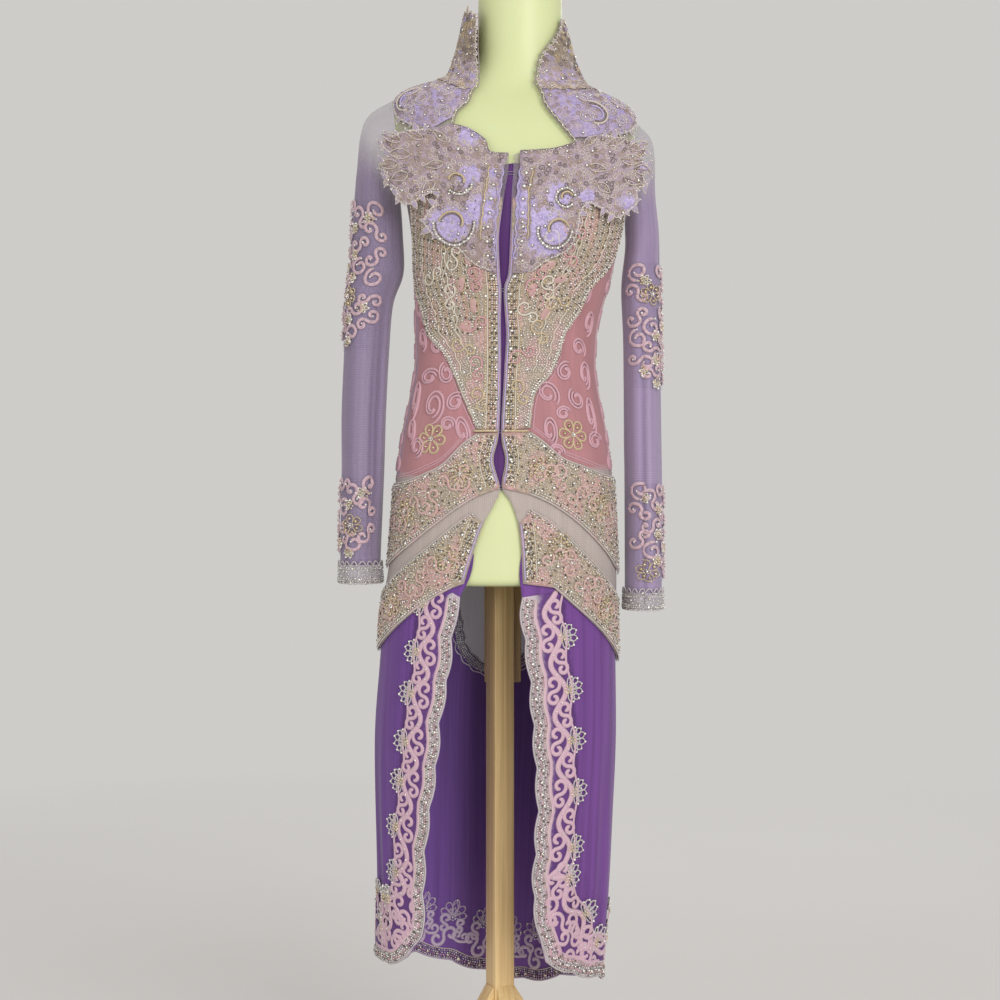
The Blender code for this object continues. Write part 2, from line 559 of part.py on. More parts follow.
# ---------------------------------------------------------------- the garment
def front_outline(side):
    """A bodice front: up the front edge, round the neckline and armhole, down the side and along the hem."""
    edge = front_edge_line(FRONT_EDGE, side, 0.75, 1.29, 0.020)
    neck = curve_through(NECKLINE[side], 0.018) + curve_through(NECK_SIDE[side], 0.018)[1:]
    neck += curve_through(NECK_RISE[side], 0.02)[1:]
    armhole = [(side * min(abs(degrees), SIDE_SEAM), z) for degrees, z in armhole_line(side, ARMHOLE_STEPS, 90, -90)]
    return edge + neck + armhole + curve_through(BODICE_HEM[side], 0.02)[::-1]


def back_outline():
    """The whole back: armhole, neck, armhole, and the hem with its tail."""
    neck = curve_through(BACK_NECK, 0.03)
    neck = neck + [(360 - degrees, z) for degrees, z in neck[::-1]][1:]
    left = [(max(degrees, 180 - SIDE_SEAM), z) for degrees, z in armhole_line(1, ARMHOLE_STEPS, 270, 90)]
    right = [(min(360 + degrees, 180 + SIDE_SEAM), z) for degrees, z in armhole_line(-1, ARMHOLE_STEPS, 90, 270)]
    return left + neck + right + curve_through(PEPLUM_BACK_HEM, 0.024)[::-1]


def skirt_edges(side):
    """The scalloped front edge of a skirt front, from low to high, and its hem, from the side to the front."""
    edge = scalloped(front_edge_line(SKIRT_EDGE, side, 0.30, 0.80, SCALLOP / 4), SCALLOP, side * SCALLOP_DEPTH)
    hem = scalloped(curve_through(SKIRT_HEM[side], SCALLOP / 4)[::-1], SCALLOP, side * SCALLOP_DEPTH)
    return edge, hem


def skirt_outline(side):
    """A skirt front, whose top is tucked in under the bodice."""
    edge, hem = skirt_edges(side)
    top = [(degrees, z + TUCK) for degrees, z in curve_through(BODICE_HEM[side], 0.03)]
    return [point for point in edge if point[1] < top[0][1]] + top + hem


def border_outline(side):
    """The lace along a skirt front's edge and hem, starting just under the bodice's hem."""
    edge, hem = skirt_edges(side)
    low, high = BORDER_HEIGHTS
    inner = [(degrees + side * BORDER_DEGREES, z)
             for degrees, z in front_edge_line(SKIRT_EDGE, side, low, high, 0.04)]
    top = [(degrees, z - BORDER_GAP) for degrees, z in curve_through(BODICE_HEM[side], 0.02)
           if abs(degrees) < abs(inner[-1][0])]
    edge = [point for point in edge if point[1] < top[0][1] - CORNER_GAP]
    return edge + top + inner[::-1] + list(HEM_LACE_TOP[side]) + hem


def back_skirt_outline():
    """The back of the skirt, sewn in under the whole edge of the bodice's tail."""
    hem = scalloped(curve_through(BACK_HEM, SCALLOP / 4), SCALLOP, -SCALLOP_DEPTH)
    return within_back(moved_in(curve_through(PEPLUM_BACK_HEM, 0.024), BACK_TUCK)) + hem[::-1]


def within_back(points):
    return [(min(max(degrees, 180 - SIDE_SEAM), 180 + SIDE_SEAM), z) for degrees, z in points]


def moved_in(points, distance):
    """The line moved over by a distance, to its left-hand side."""
    made = []
    for k, point in enumerate(points):
        a, b = points[max(k - 1, 0)], points[min(k + 1, len(points) - 1)]
        along = Vector(((b[0] - a[0]) * DEGREE, b[1] - a[1])).normalized()
        made.append((point[0] - along.y * distance / DEGREE, point[1] + along.x * distance))
    return made


def sleeve_rings(side, columns, out=0.0, first=0, last=None):
    """Rings of a sleeve from its seam at the armhole down to the cuff."""
    seam = armhole_line(side, columns, 0, 360, ARMHOLE_INSET)[:-1]
    made = [[sewn(degrees, z, out) for degrees, z in seam]]
    last_ring = SLEEVE[side][-1]
    rows = list(SLEEVE[side]) + [(*last_ring[:2], CUFF_END[side], 0, last_ring[4] + CUFF_EASE, CUFF_DEEP)]
    for x, y, z, tilt, wide, deep in rows:
        lean = math.radians(tilt)
        outward = Vector((side * math.cos(lean), 0, math.sin(lean)))
        ring = []
        for k in range(columns):
            phase = math.radians(360 * k / columns)
            ring.append(Vector((x, y, z)) + outward * (wide + out) * math.sin(phase)
                        + Vector((0, -(deep + out) * math.cos(phase), 0)))
        made.append(ring)
    return made[first:last]


def facing_out(rings, side):
    """Ring order from the cuff up on the wearer's left, and mirrored on the right, so that faces point out."""
    return [ring[::-1] if side < 0 else ring for ring in rings[::-1]]


def collar_rings(columns, shares):
    """The standing collar, from one slanting front edge round the back to the other."""
    low_edge = list(NECK_RISE[-1]) + [(-degrees, z) for degrees, z in BACK_NECK[1:]]
    low_edge += [(degrees - 360, z) for degrees, z in BACK_NECK[-2::-1] + NECK_RISE[1][::-1]]
    rings = []
    for share in shares:
        first, last = hermite(COLLAR_FRONT[-1], share)[0], hermite(COLLAR_FRONT[1], share)[0] - 360
        ring = []
        for k in range(columns):
            turn = first + (last - first) * k / (columns - 1)
            low = sewn(turn, hermite(low_edge, turn)[0], COLLAR_OUT)
            angle, lean = math.radians(turn), share ** COLLAR_LEAN
            top_x = COLLAR_CENTRE[0] + COLLAR_RADIUS * math.sin(angle)
            top_y = COLLAR_CENTRE[1] - COLLAR_RADIUS * math.cos(angle)
            ring.append(Vector((low.x + (top_x - low.x) * lean, low.y + (top_y - low.y) * lean,
                                low.z + (hermite(COLLAR_TOP, turn)[0] - low.z) * share)))
        rings.append(ring)
    return [ring[::-1] for ring in rings]


def hook_wire(name, z, finish, collection):
    """A flat hook between the two front edges: a bent wire."""
    left, right = (hermite(FRONT_EDGE, z)[i] for i in (0, 1))
    path = ((left - HOOK_REACH, HOOK_RISE * 0.8), (left, HOOK_RISE), (right, HOOK_RISE),
            (right + HOOK_REACH, HOOK_RISE * 0.6), (right + HOOK_REACH, -HOOK_RISE * 0.8), (right, -HOOK_RISE),
            (left - HOOK_REACH, -HOOK_RISE * 0.8))
    curve = bpy.data.curves.new(name, "CURVE")
    curve.dimensions = "3D"
    curve.bevel_depth = HOOK_WIRE
    curve.bevel_resolution = 1
    curve.use_fill_caps = True
    line = curve.splines.new("POLY")
    line.points.add(len(path) - 1)
    for point, (x, rise) in zip(line.points, path):
        point.co = (*sewn(degrees_at(x, z + rise), z + rise, HOOK_AT), 1)
    obj = bpy.data.objects.new(name, curve)
    obj.data.materials.append(finish)
    collection.objects.link(obj)
    return obj


def make_fronts(side, word, pink, beads, collection):
    pattern_piece(f"front_{word}", front_outline(side), BODICE_AT, WALL, pink, collection)

    def edge(low, high):
        return [(degrees + side * EDGE_STEP, z) for degrees, z in front_edge_line(FRONT_EDGE, side, low, high, 0.02)]

    beaded = edge(0.943, 1.23) + curve_through(BEADED_SIDE[side], 0.02)
    pattern_piece(f"beaded_panel_{word}", beaded, TRIM_AT, LACE, beads, collection)
    upper = [(degrees, z - BAND_GAP) for degrees, z in edge(0.873, 0.943) + curve_through(PEPLUM_TOP[side], 0.025)]
    upper += curve_through(SHEER_TOP[side], 0.025)[::-1]
    pattern_piece(f"band_upper_{word}", upper, TRIM_AT, LACE, beads, collection)
    lower = edge(0.753, 0.829) + curve_through(BAND_TOP[side], 0.025)[1:]
    lower += curve_through(BODICE_HEM[side], 0.025)[::-1]
    pattern_piece(f"band_lower_{word}", lower, TRIM_AT, LACE, beads, collection)


def make_neck_lace(side, word, lilac, collection):
    wing = curve_through(CHEST_WING[side], 0.03)
    edge = front_edge_line(FRONT_EDGE, side, 1.138, 1.27, 0.02)
    edge = [(degrees + side * CHEST_EDGE_STEP, z) for degrees, z in edge]
    pattern_piece(f"chest_lace_{word}", edge + curve_through(NECKLINE[side], 0.018) + wing,
                  CHEST_AT, WALL, lilac, collection, chest_surface)
    inner = [(degrees + side * NECK_EDGE_STEP, z) for degrees, z in curve_through(NECK_SIDE[side], 0.02)][1:]
    outer = [(side * degrees, z) for degrees, z in curve_through(NECK_LACE_REACH, 0.022)]
    pattern_piece(f"neck_lace_{word}", inner + outer, TRIM_AT, LACE, lilac, collection)


def make_skirt_front(side, word, violet, beads, collection):
    pattern_piece(f"skirt_{word}", skirt_outline(side), SKIRT_AT, LACE, violet, collection)
    pattern_piece(f"border_{word}", border_outline(side), SKIRT_TRIM_AT, LACE, beads, collection)


def make_sleeve(side, word, tulle, beads, collection):
    rings = sleeve_rings(side, SLEEVE_COLUMNS)
    ring_tube(f"sleeve_{word}", facing_out(rings, side), LACE, tulle, collection)
    raised = sleeve_rings(side, SLEEVE_COLUMNS, SLEEVE_LACE_OUT)
    for place, spans in SLEEVE_LACE.items():
        first, last, start, end = spans[side]
        patch = [[ring[k % SLEEVE_COLUMNS] for k in range(start, end + 1)] for ring in raised[first:last + 1]]
        ring_tube(f"sleeve_lace_{place}_{word}", facing_out(patch, side), LACE, beads, collection, closed=False)
    cuff = [[point + Vector((0, 0, lift)) for point in raised[-1]] for lift in (CUFF_HEIGHT, 0)]
    ring_tube(f"cuff_{word}", facing_out(cuff, side), LACE, beads, collection)


def make_back(pink, beads, violet, collection):
    pattern_piece("back", back_outline(), BODICE_AT, WALL, pink, collection)
    hem = curve_through(PEPLUM_BACK_HEM, 0.024)
    trim = hem + within_back(moved_in(hem, TAIL_TRIM_WIDTH))[::-1]
    pattern_piece("back_hem_trim", trim, TRIM_AT, LACE, beads, collection)
    pattern_piece("skirt_back", back_skirt_outline(), SKIRT_AT, LACE, violet, collection)
    hem = scalloped(curve_through(BACK_HEM, SCALLOP / 4), SCALLOP, -SCALLOP_DEPTH)
    top = [(degrees, z + BACK_LACE_HEIGHT) for degrees, z in curve_through(BACK_HEM, 0.03)]
    pattern_piece("hem_lace_back", hem + top[::-1], SKIRT_TRIM_AT, LACE, beads, collection)


def make_garment(collection):
    tulle = material("sheer_tulle", (0.40, 0.31, 0.43), 0.7)
    pink = material("lined_tulle", (0.50, 0.25, 0.27), 0.6)
    beads = material("beaded_lace", (0.50, 0.42, 0.36), 0.35)
    lilac = material("lilac_lace", (0.50, 0.40, 0.60), 0.5)
    violet = material("violet_tulle", (0.13, 0.06, 0.25), 0.7)
    metal = material("hook_metal", (0.6, 0.6, 0.6), 0.3)
    for side, word in ((-1, "right"), (1, "left")):
        make_fronts(side, word, pink, beads, collection)
        make_neck_lace(side, word, lilac, collection)
        make_skirt_front(side, word, violet, beads, collection)
        make_sleeve(side, word, tulle, beads, collection)
    make_back(pink, beads, violet, collection)
    pattern_piece("underlay", UNDERLAY, UNDERLAY_AT, LACE, violet, collection)
    ring_tube("collar", collar_rings(COLLAR_COLUMNS, COLLAR_SHARES), WALL, lilac, collection, closed=False)
    for number, z in enumerate(HOOK_HEIGHTS, 1):
        hook_wire(f"hook_{number}", z, metal, collection)


def main():
    clear_scene()
    garment = bpy.data.collections.new("kebaya_on_dress_form")
    cutters = bpy.data.collections.new("cutters")
    for collection in (garment, cutters):
        bpy.context.scene.collection.children.link(collection)
    cream = material("form_plastic", (0.80, 0.80, 0.52), 0.4)
    wood = material("stand_wood", (0.45, 0.28, 0.08), 0.5)
    make_form(cream, garment, cutters)
    make_stand(wood, garment)
    make_garment(garment)


main()
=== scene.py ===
# %% [markdown]
# # A long kebaya on a dress form
#
# A kebaya is a fitted, front-opening blouse of sheer tulle. This one is cut long, with a bead net on its bodice, stiff
# lace round its neck and shoulders, and a skirt that hangs from the hips. We load the imported frame, which fixes every
# size.

# %% Load the frame
import json
import math

import bpy
import numpy as np
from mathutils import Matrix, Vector
from mathutils.geometry import delaunay_2d_cdt
from mathutils.kdtree import KDTree

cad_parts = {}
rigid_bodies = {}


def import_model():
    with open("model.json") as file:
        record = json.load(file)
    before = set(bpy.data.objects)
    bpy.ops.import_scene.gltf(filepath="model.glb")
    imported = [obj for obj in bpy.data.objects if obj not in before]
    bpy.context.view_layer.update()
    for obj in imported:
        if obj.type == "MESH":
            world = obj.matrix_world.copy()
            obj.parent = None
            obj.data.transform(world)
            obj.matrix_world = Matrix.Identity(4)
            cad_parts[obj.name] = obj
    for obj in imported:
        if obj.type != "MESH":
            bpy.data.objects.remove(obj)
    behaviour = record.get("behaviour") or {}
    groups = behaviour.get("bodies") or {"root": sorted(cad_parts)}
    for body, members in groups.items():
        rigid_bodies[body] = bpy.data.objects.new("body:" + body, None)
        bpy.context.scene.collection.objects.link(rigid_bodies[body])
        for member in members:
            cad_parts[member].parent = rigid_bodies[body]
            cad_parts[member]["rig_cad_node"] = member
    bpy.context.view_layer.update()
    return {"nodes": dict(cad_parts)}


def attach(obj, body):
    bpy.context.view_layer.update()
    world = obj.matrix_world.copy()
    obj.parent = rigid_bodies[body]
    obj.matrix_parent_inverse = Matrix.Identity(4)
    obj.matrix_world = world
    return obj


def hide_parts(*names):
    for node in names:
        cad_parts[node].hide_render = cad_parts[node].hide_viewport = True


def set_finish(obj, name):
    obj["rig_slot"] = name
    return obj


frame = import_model()
bpy.ops.object.select_all(action="DESELECT")
SIDES = ((-1, "right"), (1, "left"))  # the wearer's right is at -X
print("nodes:", len(frame["nodes"]))

# %% Tables from text, and small array helpers
MM = 1000


def chart(text, units=(1, MM)):
    """A table from text: rows end at commas, and a bar parts the wearer's right, -1, from the left, 1. Each column is
    divided by its unit, in degrees and then millimetres unless others are given, and the last serves any after it."""
    if "|" in text:
        return dict(zip((-1, 1), (chart(half, units) for half in text.split("|"))))
    units = units + units[-1:] * 9
    return tuple(tuple(float(n) / unit for n, unit in zip(row.split(), units)) for row in text.split(","))


def pairs(u, v):
    """Places from their two columns, either of which may be one number."""
    return np.stack(np.broadcast_arrays(u, v), -1)


def unit(vectors):
    return vectors / (np.linalg.norm(vectors, axis=-1, keepdims=True) + 1e-12)


print("a table of degrees and heights:", chart("20 1010, 30 1015"))

# %% [markdown]
# ## The garment's surface
#
# A dressmaker drafts flat pieces against the body's measurements. We do the same: one table gives the body's half
# width and depths at each height, and every piece of cloth is a flat outline in degrees round the body against
# height. The same sizes made the frame's solids, so the fine cloth falls exactly where the solids are.

# %% Sizes of the body and the garment's edges
# height, half width, front depth, back depth, centre x, squareness (2 is an ellipse)
BODY = chart("""
200 148 119 113 -18 2.1, 263 147.8 119 113 -14.3 2.1, 347 151.7 119 114 -10.4 2.1, 460 156 119 115 -8.5 2.1,
560 158 118 115 -5.8 2.15, 658 155 116 114 -2.6 2.15, 714 152.8 113 113 -1.3 2.15, 770 148.5 108 112 3.2 2.15,
827 144.6 105 110 4.5 2.15, 885 141 99 104 5.2 2.15, 941 133.5 92 95 5.6 2.15, 985 124.5 86 88 6 2.15,
1026 118 83 84 6.5 2.15, 1082 119 90 85 8.5 2.2, 1139 127 107 90 16 2.3, 1195 135.5 123 97 20.5 2.35,
1240 143 120 100 20.5 2.35, 1290 156 106 100 19.5 2.4, 1325 161 93 95 19 2.4, 1350 158 81 87 19 2.35,
1366 144 72 79 19.5 2.25, 1378 120 65 72 20.5 2.15, 1388 96 61 67 22 2.05, 1400 77 59.5 64 24 2,
1416 66 59 61.5 25.5 2, 1440 61 59.5 60 26 2, 1540 59.5 59 59 26 2""", (MM, MM, MM, MM, MM, 1))
# The skirt's large folds: degrees round, half spread, depth, height where it starts to show, run of the fade
SKIRT_FOLDS = chart("""
-78 9 -6 620 300, -52 8 4 500 300, 47 8 -5 560 300, 72 9 5 600 300, 104 9 -7 600 300, 128 8 6 660 300,
150 9 -8 600 300, 171 8 6 560 300, 192 9 -7 640 300, 214 9 7 580 300, 236 8 -7 660 300, 257 9 5 550 300""", (1, 1, MM))
# Creases too small for the frame, with the same columns
CREASES = chart("""
-84 3.2 1.6 680 140, -67 2.6 1.4 660 200, -61 2.4 -1.2 600 160, 38 2.6 1.2 660 180, 57 2.8 1.6 680 200,
65 2.4 -1.3 600 150, 84 3 1.5 660 160, 97 2.6 1.4 620 200, 117 2.8 -1.6 640 150, 140 2.6 1.7 620 200,
161 2.4 -1.4 580 160, 182 2.8 1.6 600 180, 203 2.6 -1.5 620 150, 226 2.6 1.6 600 200, 247 2.8 -1.4 640 160""",
                (1, 1, MM))
# Front edges: height, x on the wearer's right, x on the wearer's left
FRONT_EDGE = chart("""
1286 11 17.2, 1263 10 16.3, 1225 4 14, 1182 -1.3 12.5, 1138 0 10, 1118 1.8 4.6, 1070 1.2 7.3, 1020 1.2 5.2,
943 -1 1.2, 907 -8 6.3, 873 0 2.2, 854 -6 13.8, 828 -20 22.5, 801 -30 26, 773 -39 27.5, 753 -45 28.5""", (MM,))
SKIRT_EDGE = chart("""
790 -33 27, 753 -45 28.5, 719.5 -55 28, 678 -61.5 32.5, 638 -66 38, 584.5 -75.5 42, 532 -80 45.5, 476 -88 48,
422 -94.5 45, 367 -96.5 43, 313 -97.5 50""", (MM,))
# The wearer's right shoulder stands higher: by this much, between these heights
SHOULDER_LIFT, LIFT_FROM, LIFT_FULL, LIFT_GONE = 0.02, 1.2, 1.35, 1.44
SIDE_SEAM, DEGREE = 89.93, 0.00227
print("rows of the body's table:", len(BODY))


# %% Read a table on a smooth curve, and the body's surface from it
def table_at(rows, at):
    """The other columns of a table at values of its first one, on a smooth curve."""
    rows = np.array(sorted(rows), float)
    keys, values, last = rows[:, 0], rows[:, 1:], len(rows) - 1
    at = np.clip(at, keys[0], keys[-1])
    k = np.clip(np.searchsorted(keys, at) - 1, 0, last - 1)
    order = np.arange(last + 1)
    before, after = np.maximum(order - 1, 0), np.minimum(order + 1, last)
    slopes = (values[after] - values[before]) / (keys[after] - keys[before])[:, None]
    step = (keys[k + 1] - keys[k])[..., None]
    t = (at - keys[k])[..., None] / step
    curve = ((2 * t**3 - 3 * t**2 + 1) * values[k] + (t**3 - 2 * t**2 + t) * slopes[k] * step
             + (3 * t**2 - 2 * t**3) * values[k + 1] + (t**3 - t**2) * slopes[k + 1] * step)
    return np.moveaxis(curve, -1, 0)


def ease(share):
    """0 below 0, 1 above 1, and a smooth rise between."""
    share = np.clip(share, 0, 1)
    return share * share * (3 - 2 * share)


def around(degrees, middle):
    """Degrees from the middle of each fold, the short way round."""
    return (degrees[..., None] - middle + 180) % 360 - 180


def folds_out(rows, degrees, z):
    """How far the folds of a table carry the cloth out, or in where it is negative."""
    middle, spread, depth, top, run = np.array(rows).T
    shown = ease((top - z[..., None]) / run) * np.exp(-((around(degrees, middle) / spread) ** 2))
    return (depth * shown).sum(-1)


def body_base(degrees, z):
    """The garment's surface, folds and creases with it: degrees round from centre front, at a height."""
    degrees, z = np.broadcast_arrays(degrees, z)
    half, front, back, centre, square = table_at(BODY, z)
    s, c = np.sin(np.radians(degrees)), np.cos(np.radians(degrees))
    deep = np.where(c > 0, front, back)
    lift = SHOULDER_LIFT * ease((z - LIFT_FROM) / (LIFT_FULL - LIFT_FROM)) * np.maximum(-s, 0) ** 1.5
    lift = lift * (1 - ease((z - LIFT_FULL) / (LIFT_GONE - LIFT_FULL)))
    swing = folds_out(SKIRT_FOLDS + CREASES, degrees, z)
    outward = unit(np.stack([s / half, -c / deep], -1))
    x = centre + half * np.sign(s) * np.abs(s) ** (2 / square) + outward[..., 0] * swing
    y = -deep * np.sign(c) * np.abs(c) ** (2 / square) + outward[..., 1] * swing
    return np.stack([x, y, z + lift], -1)


def degrees_at(x, z):
    """The angle round the front half at which the surface has this x."""
    half, _, _, centre, square = table_at(BODY, np.asarray(z, float))
    share = np.minimum(np.abs(x - centre) / half, 1)
    return np.sign(x - centre) * np.degrees(np.arcsin(share ** (square / 2)))


print("chest front:", body_base(0, 1.195).round(4), "waist side:", body_base(90, 1.026).round(4))

# %% [markdown]
# ## Grounds: the body, the sleeves and the collar
#
# Lace is sewn on a ground. Each ground turns pattern places into places in space, and tells which way is out and how
# many metres a degree covers there, so that a spiral of 10 mm is 10 mm anywhere. Sleeves hang from an oval seam at
# the armhole through a row of rings, and the collar leans in from the neck seam to its own upper edge.

# %% A ground for cloth and lace
class Ground:
    """A surface that cloth is laid on. rise turns heights into metres along the cloth, for even meshes."""

    def __init__(self, base, degree, rise=((0, 0), (2, 2))):
        self.base, self.degree, self.rise = base, degree, np.array(rise, float)

    def look(self, places):
        """Points, outward normals, and the scale across and up at each place."""
        u, v = np.asarray(places, float).T
        across = self.base(u + 0.4, v) - self.base(u - 0.4, v)
        up = self.base(u, v + 0.0015) - self.base(u, v - 0.0015)
        normal = unit(np.cross(across, up))
        wide, tall = np.linalg.norm(across, axis=-1) / 0.8, np.linalg.norm(up, axis=-1) / 0.003
        return self.base(u, v), normal, np.maximum(wide, 1e-5), np.maximum(tall, 0.2)

    def scale(self, places):
        """The metres that a degree and a metre of height cover at each place."""
        return pairs(*self.look(places)[2:])

    def at(self, places, out):
        points, normal, _, _ = self.look(places)
        return points + normal * np.reshape(out, (-1, 1))

    def flat(self, places):
        places = np.asarray(places, float)
        return pairs(places[:, 0] * self.degree, np.interp(places[:, 1], *self.rise.T))

    def unflat(self, metres):
        return pairs(metres[:, 0] / self.degree, np.interp(metres[:, 1], *self.rise.T[::-1]))


heights = np.linspace(0.15, 1.45, 261)
side_line = body_base(90.0, heights)
lengths = np.concatenate([[0], np.cumsum(np.linalg.norm(np.diff(side_line, axis=0), axis=1))])
body = Ground(body_base, DEGREE, pairs(heights, heights[0] + lengths * 0.8 + (heights - heights[0]) * 0.2))

# The chest lace is a stiffer sheet whose ends stand off in front of the sleeve heads
CHEST_AT, CHEST_FLARE = 0.0026, np.array([0.03, -0.016, 0.004])


def chest_base(degrees, z):
    near = body.at(pairs(np.ravel(degrees), np.ravel(z)), CHEST_AT).reshape(*np.shape(degrees), 3)
    flare = ease((np.abs(degrees) - 30) / 40)[..., None] * CHEST_FLARE
    return near + flare * np.stack([np.sign(degrees), np.ones_like(z), np.ones_like(z)], -1)


chest = Ground(chest_base, DEGREE)
print("a degree at the bust covers", body.look([(0, 1.195)])[2].round(5), "m")

# %% The sleeves: an oval seam at the armhole, then rings down the arm
# Height and depth of each armhole's centre, and its half sizes
ARMHOLE = chart("1302 4 50 58 | 1290 4 50 56", (MM,))
ARMHOLE_INSET = 0.0009
# Centre x, centre y, centre z, tilt in degrees, half width, half depth, from the armhole to the cuff
SLEEVE = chart("""
-154 6 1306 64 48.5 48, -158 8 1262 36 35 47, -159 10 1212 14 33 46, -160 12 1156 4 34.5 46, -170 12 1112 0 31 45,
-173.5 10 1050 0 29.2 44, -177 8 970 0 28.2 43, -178 6 890 0 26.5 43, -181 3 784 0 25.2 43, -181 3 750 0 25.6 43.5 |
182.5 6 1279 67 42 47, 182.5 8 1238 40 25 46, 185 10 1190 14 22.5 46, 183 12 1135 3 25 46, 184.5 12 1070 0 24.2 45,
185 10 1000 0 23.6 44, 185.5 8 930 0 23.4 43, 186 6 880 0 23.2 43, 186 3 750 0 23 43, 186 3 716 0 23.4 43.5""",
               (MM, MM, MM, 1, MM))
# Soft folds down a sleeve: degrees outwards from its front, half spread, depth, height of the middle, half its length
COMMON_FOLDS = chart("""
62 13 -1.8 1100 150, 88 14 1.4 860 160, 128 14 -2 1000 200, 160 13 1.8 900 160, -100 15 -1.6 1100 120,
25 10 1.4 800 70, 30 16 -1.6 1235 30, 60 18 1.8 1205 26, 20 20 -2 1165 22, 48 18 1.4 1135 20""", (1, 1, MM))
OWN_FOLDS = chart("""
-26 7 -3.2 930 140, -44 7 -3.4 950 160, -60 9 1.8 950 150, -6 13 2 980 200, 38 12 -1.4 920 180 |
-4 5 -3.6 890 180, 12 9 1.8 900 180, -26 12 1.6 1000 180, 38 12 1.4 940 180""", (1, 1, MM))
SLEEVE_FOLDS = {side: np.array(COMMON_FOLDS + rows).T for side, rows in OWN_FOLDS.items()}
SLEEVE_TURNS, SLEEVE_ROWS = 120, 240


def armhole_line(side, phases, inset=0.0):
    """The armhole's edge as (degrees, height): a phase of 0 is its front, and 90 its top."""
    (middle_z, middle_y, half_y, half_z), = ARMHOLE[side]
    z = middle_z + (half_z - inset) * np.sin(np.radians(phases))
    y = middle_y - (half_y - inset) * np.cos(np.radians(phases))
    _, front, back, _, square = table_at(BODY, z)
    share = np.minimum(np.abs(y) / np.where(y < 0, front, back), 1) ** (square / 2)
    return pairs(side * (90 - np.sign(-y) * np.degrees(np.arcsin(share))), z)


def sleeve_net(side):
    """A sleeve's points in rows, from its seam to its end, and the heights that name the rows."""
    turns = np.linspace(0, 360, SLEEVE_TURNS + 1)
    phases = np.radians(side * turns)
    rings = [body.at(armhole_line(side, side * turns, ARMHOLE_INSET), 0.0)]
    names = [SLEEVE[side][0][2] + 0.012]
    for x, y, z, tilt, wide, deep in SLEEVE[side]:
        lean = math.radians(tilt)
        outward = np.array([side * math.cos(lean), 0, math.sin(lean)])
        rings.append(np.array([x, y, z]) + np.outer(wide * np.sin(phases), outward)
                     + np.outer(-deep * np.cos(phases), (0, 1, 0)))
        names.append(z)
    table = [(k, *ring.ravel()) for k, ring in enumerate(rings)]
    steps = np.linspace(0, len(rings) - 1, SLEEVE_ROWS + 1)
    net = table_at(table, steps).T.reshape(len(steps), SLEEVE_TURNS + 1, 3)
    return net, np.interp(steps, np.arange(len(rings)), names)


def sleeve_swing(side, degrees, z):
    """How far the folds carry a sleeve's cloth out or in."""
    middle, spread, depth, height, half = SLEEVE_FOLDS[side]
    swing = depth * np.exp(-((around(degrees, side * middle) / spread) ** 2) - ((z[..., None] - height) / half) ** 2)
    return swing.sum(-1) * ease((SLEEVE[side][0][2] - 0.02 - z) / 0.06)


def sleeve_base(side):
    net, names = sleeve_net(side)

    def base(degrees, z):
        degrees, z = np.broadcast_arrays(degrees, z)
        row = np.clip(np.interp(-z, -names, np.arange(len(names))), 0, SLEEVE_ROWS - 1e-6)
        column = (degrees % 360) / 360 * SLEEVE_TURNS
        i, j = row.astype(int), np.minimum(column.astype(int), SLEEVE_TURNS - 1)
        s, t = (row - i)[..., None], (column - j)[..., None]
        point = ((net[i, j] * (1 - t) + net[i, j + 1] * t) * (1 - s)
                 + (net[i + 1, j] * (1 - t) + net[i + 1, j + 1] * t) * s)
        phase = np.radians(degrees)
        swing = sleeve_swing(side, degrees, z)[..., None]
        return point + swing * np.stack([np.sin(phase), -np.cos(phase), 0 * phase], -1)

    return base


sleeves = {side: Ground(sleeve_base(side), 0.00062) for side, _ in SIDES}
for side, word in SIDES:
    print(word, "sleeve, elbow front:", sleeves[side].base(0.0, 1.05).round(3))

# %% The standing collar
# Edges as (degrees round from centre front, height)
NECKLINE = chart("-1.8 1286, -8.5 1288, -10 1303, -17 1317, -25 1322 | 1 1289.5, 11 1292, 16 1295, 24 1303")
NECK_SIDE = chart("-25 1322, -23 1341, -19 1355, -22 1373 | 24 1303, 16 1330, 11 1355, 13 1379")
NECK_RISE = chart("-22 1373, -42 1381, -64 1387, -89.93 1389 | 13 1379, 36 1382, 64 1387, 89.93 1389")
BACK_NECK = chart("90.07 1389, 112 1387, 140 1381, 180 1376")
COLLAR_TOP = chart("""
-48 1477, -58 1484, -69 1487, -90 1476, -120 1480, -180 1484, -240 1480, -270 1470, -284 1476, -293 1474""")
# How far round each front edge of the collar lies, by its share of the collar's height
COLLAR_FRONT = chart("0 -22, .2 -27, .5 -36, .8 -43, 1 -48 | 0 13, .2 17, .4 23, .55 34, .8 55, 1 67", (1,))
COLLAR_CENTRE, COLLAR_RADIUS, COLLAR_OUT = (0.0185, 0.0035), 0.0665, 0.0022
COLLAR_TALL, COLLAR_LEAN = 0.095, 0.62  # a collar's pattern is this tall, and its lean grows as this power
COLLAR_LOW, SEAM_FALL = -0.006, 0.4  # its lower edge lies this far over the shoulder, which falls this much there
collar_seam = list(NECK_RISE[-1]) + [(-turn, z) for turn, z in BACK_NECK[1:]]
collar_seam += [(turn - 360, z) for turn, z in BACK_NECK[-2::-1] + NECK_RISE[1][::-1]]


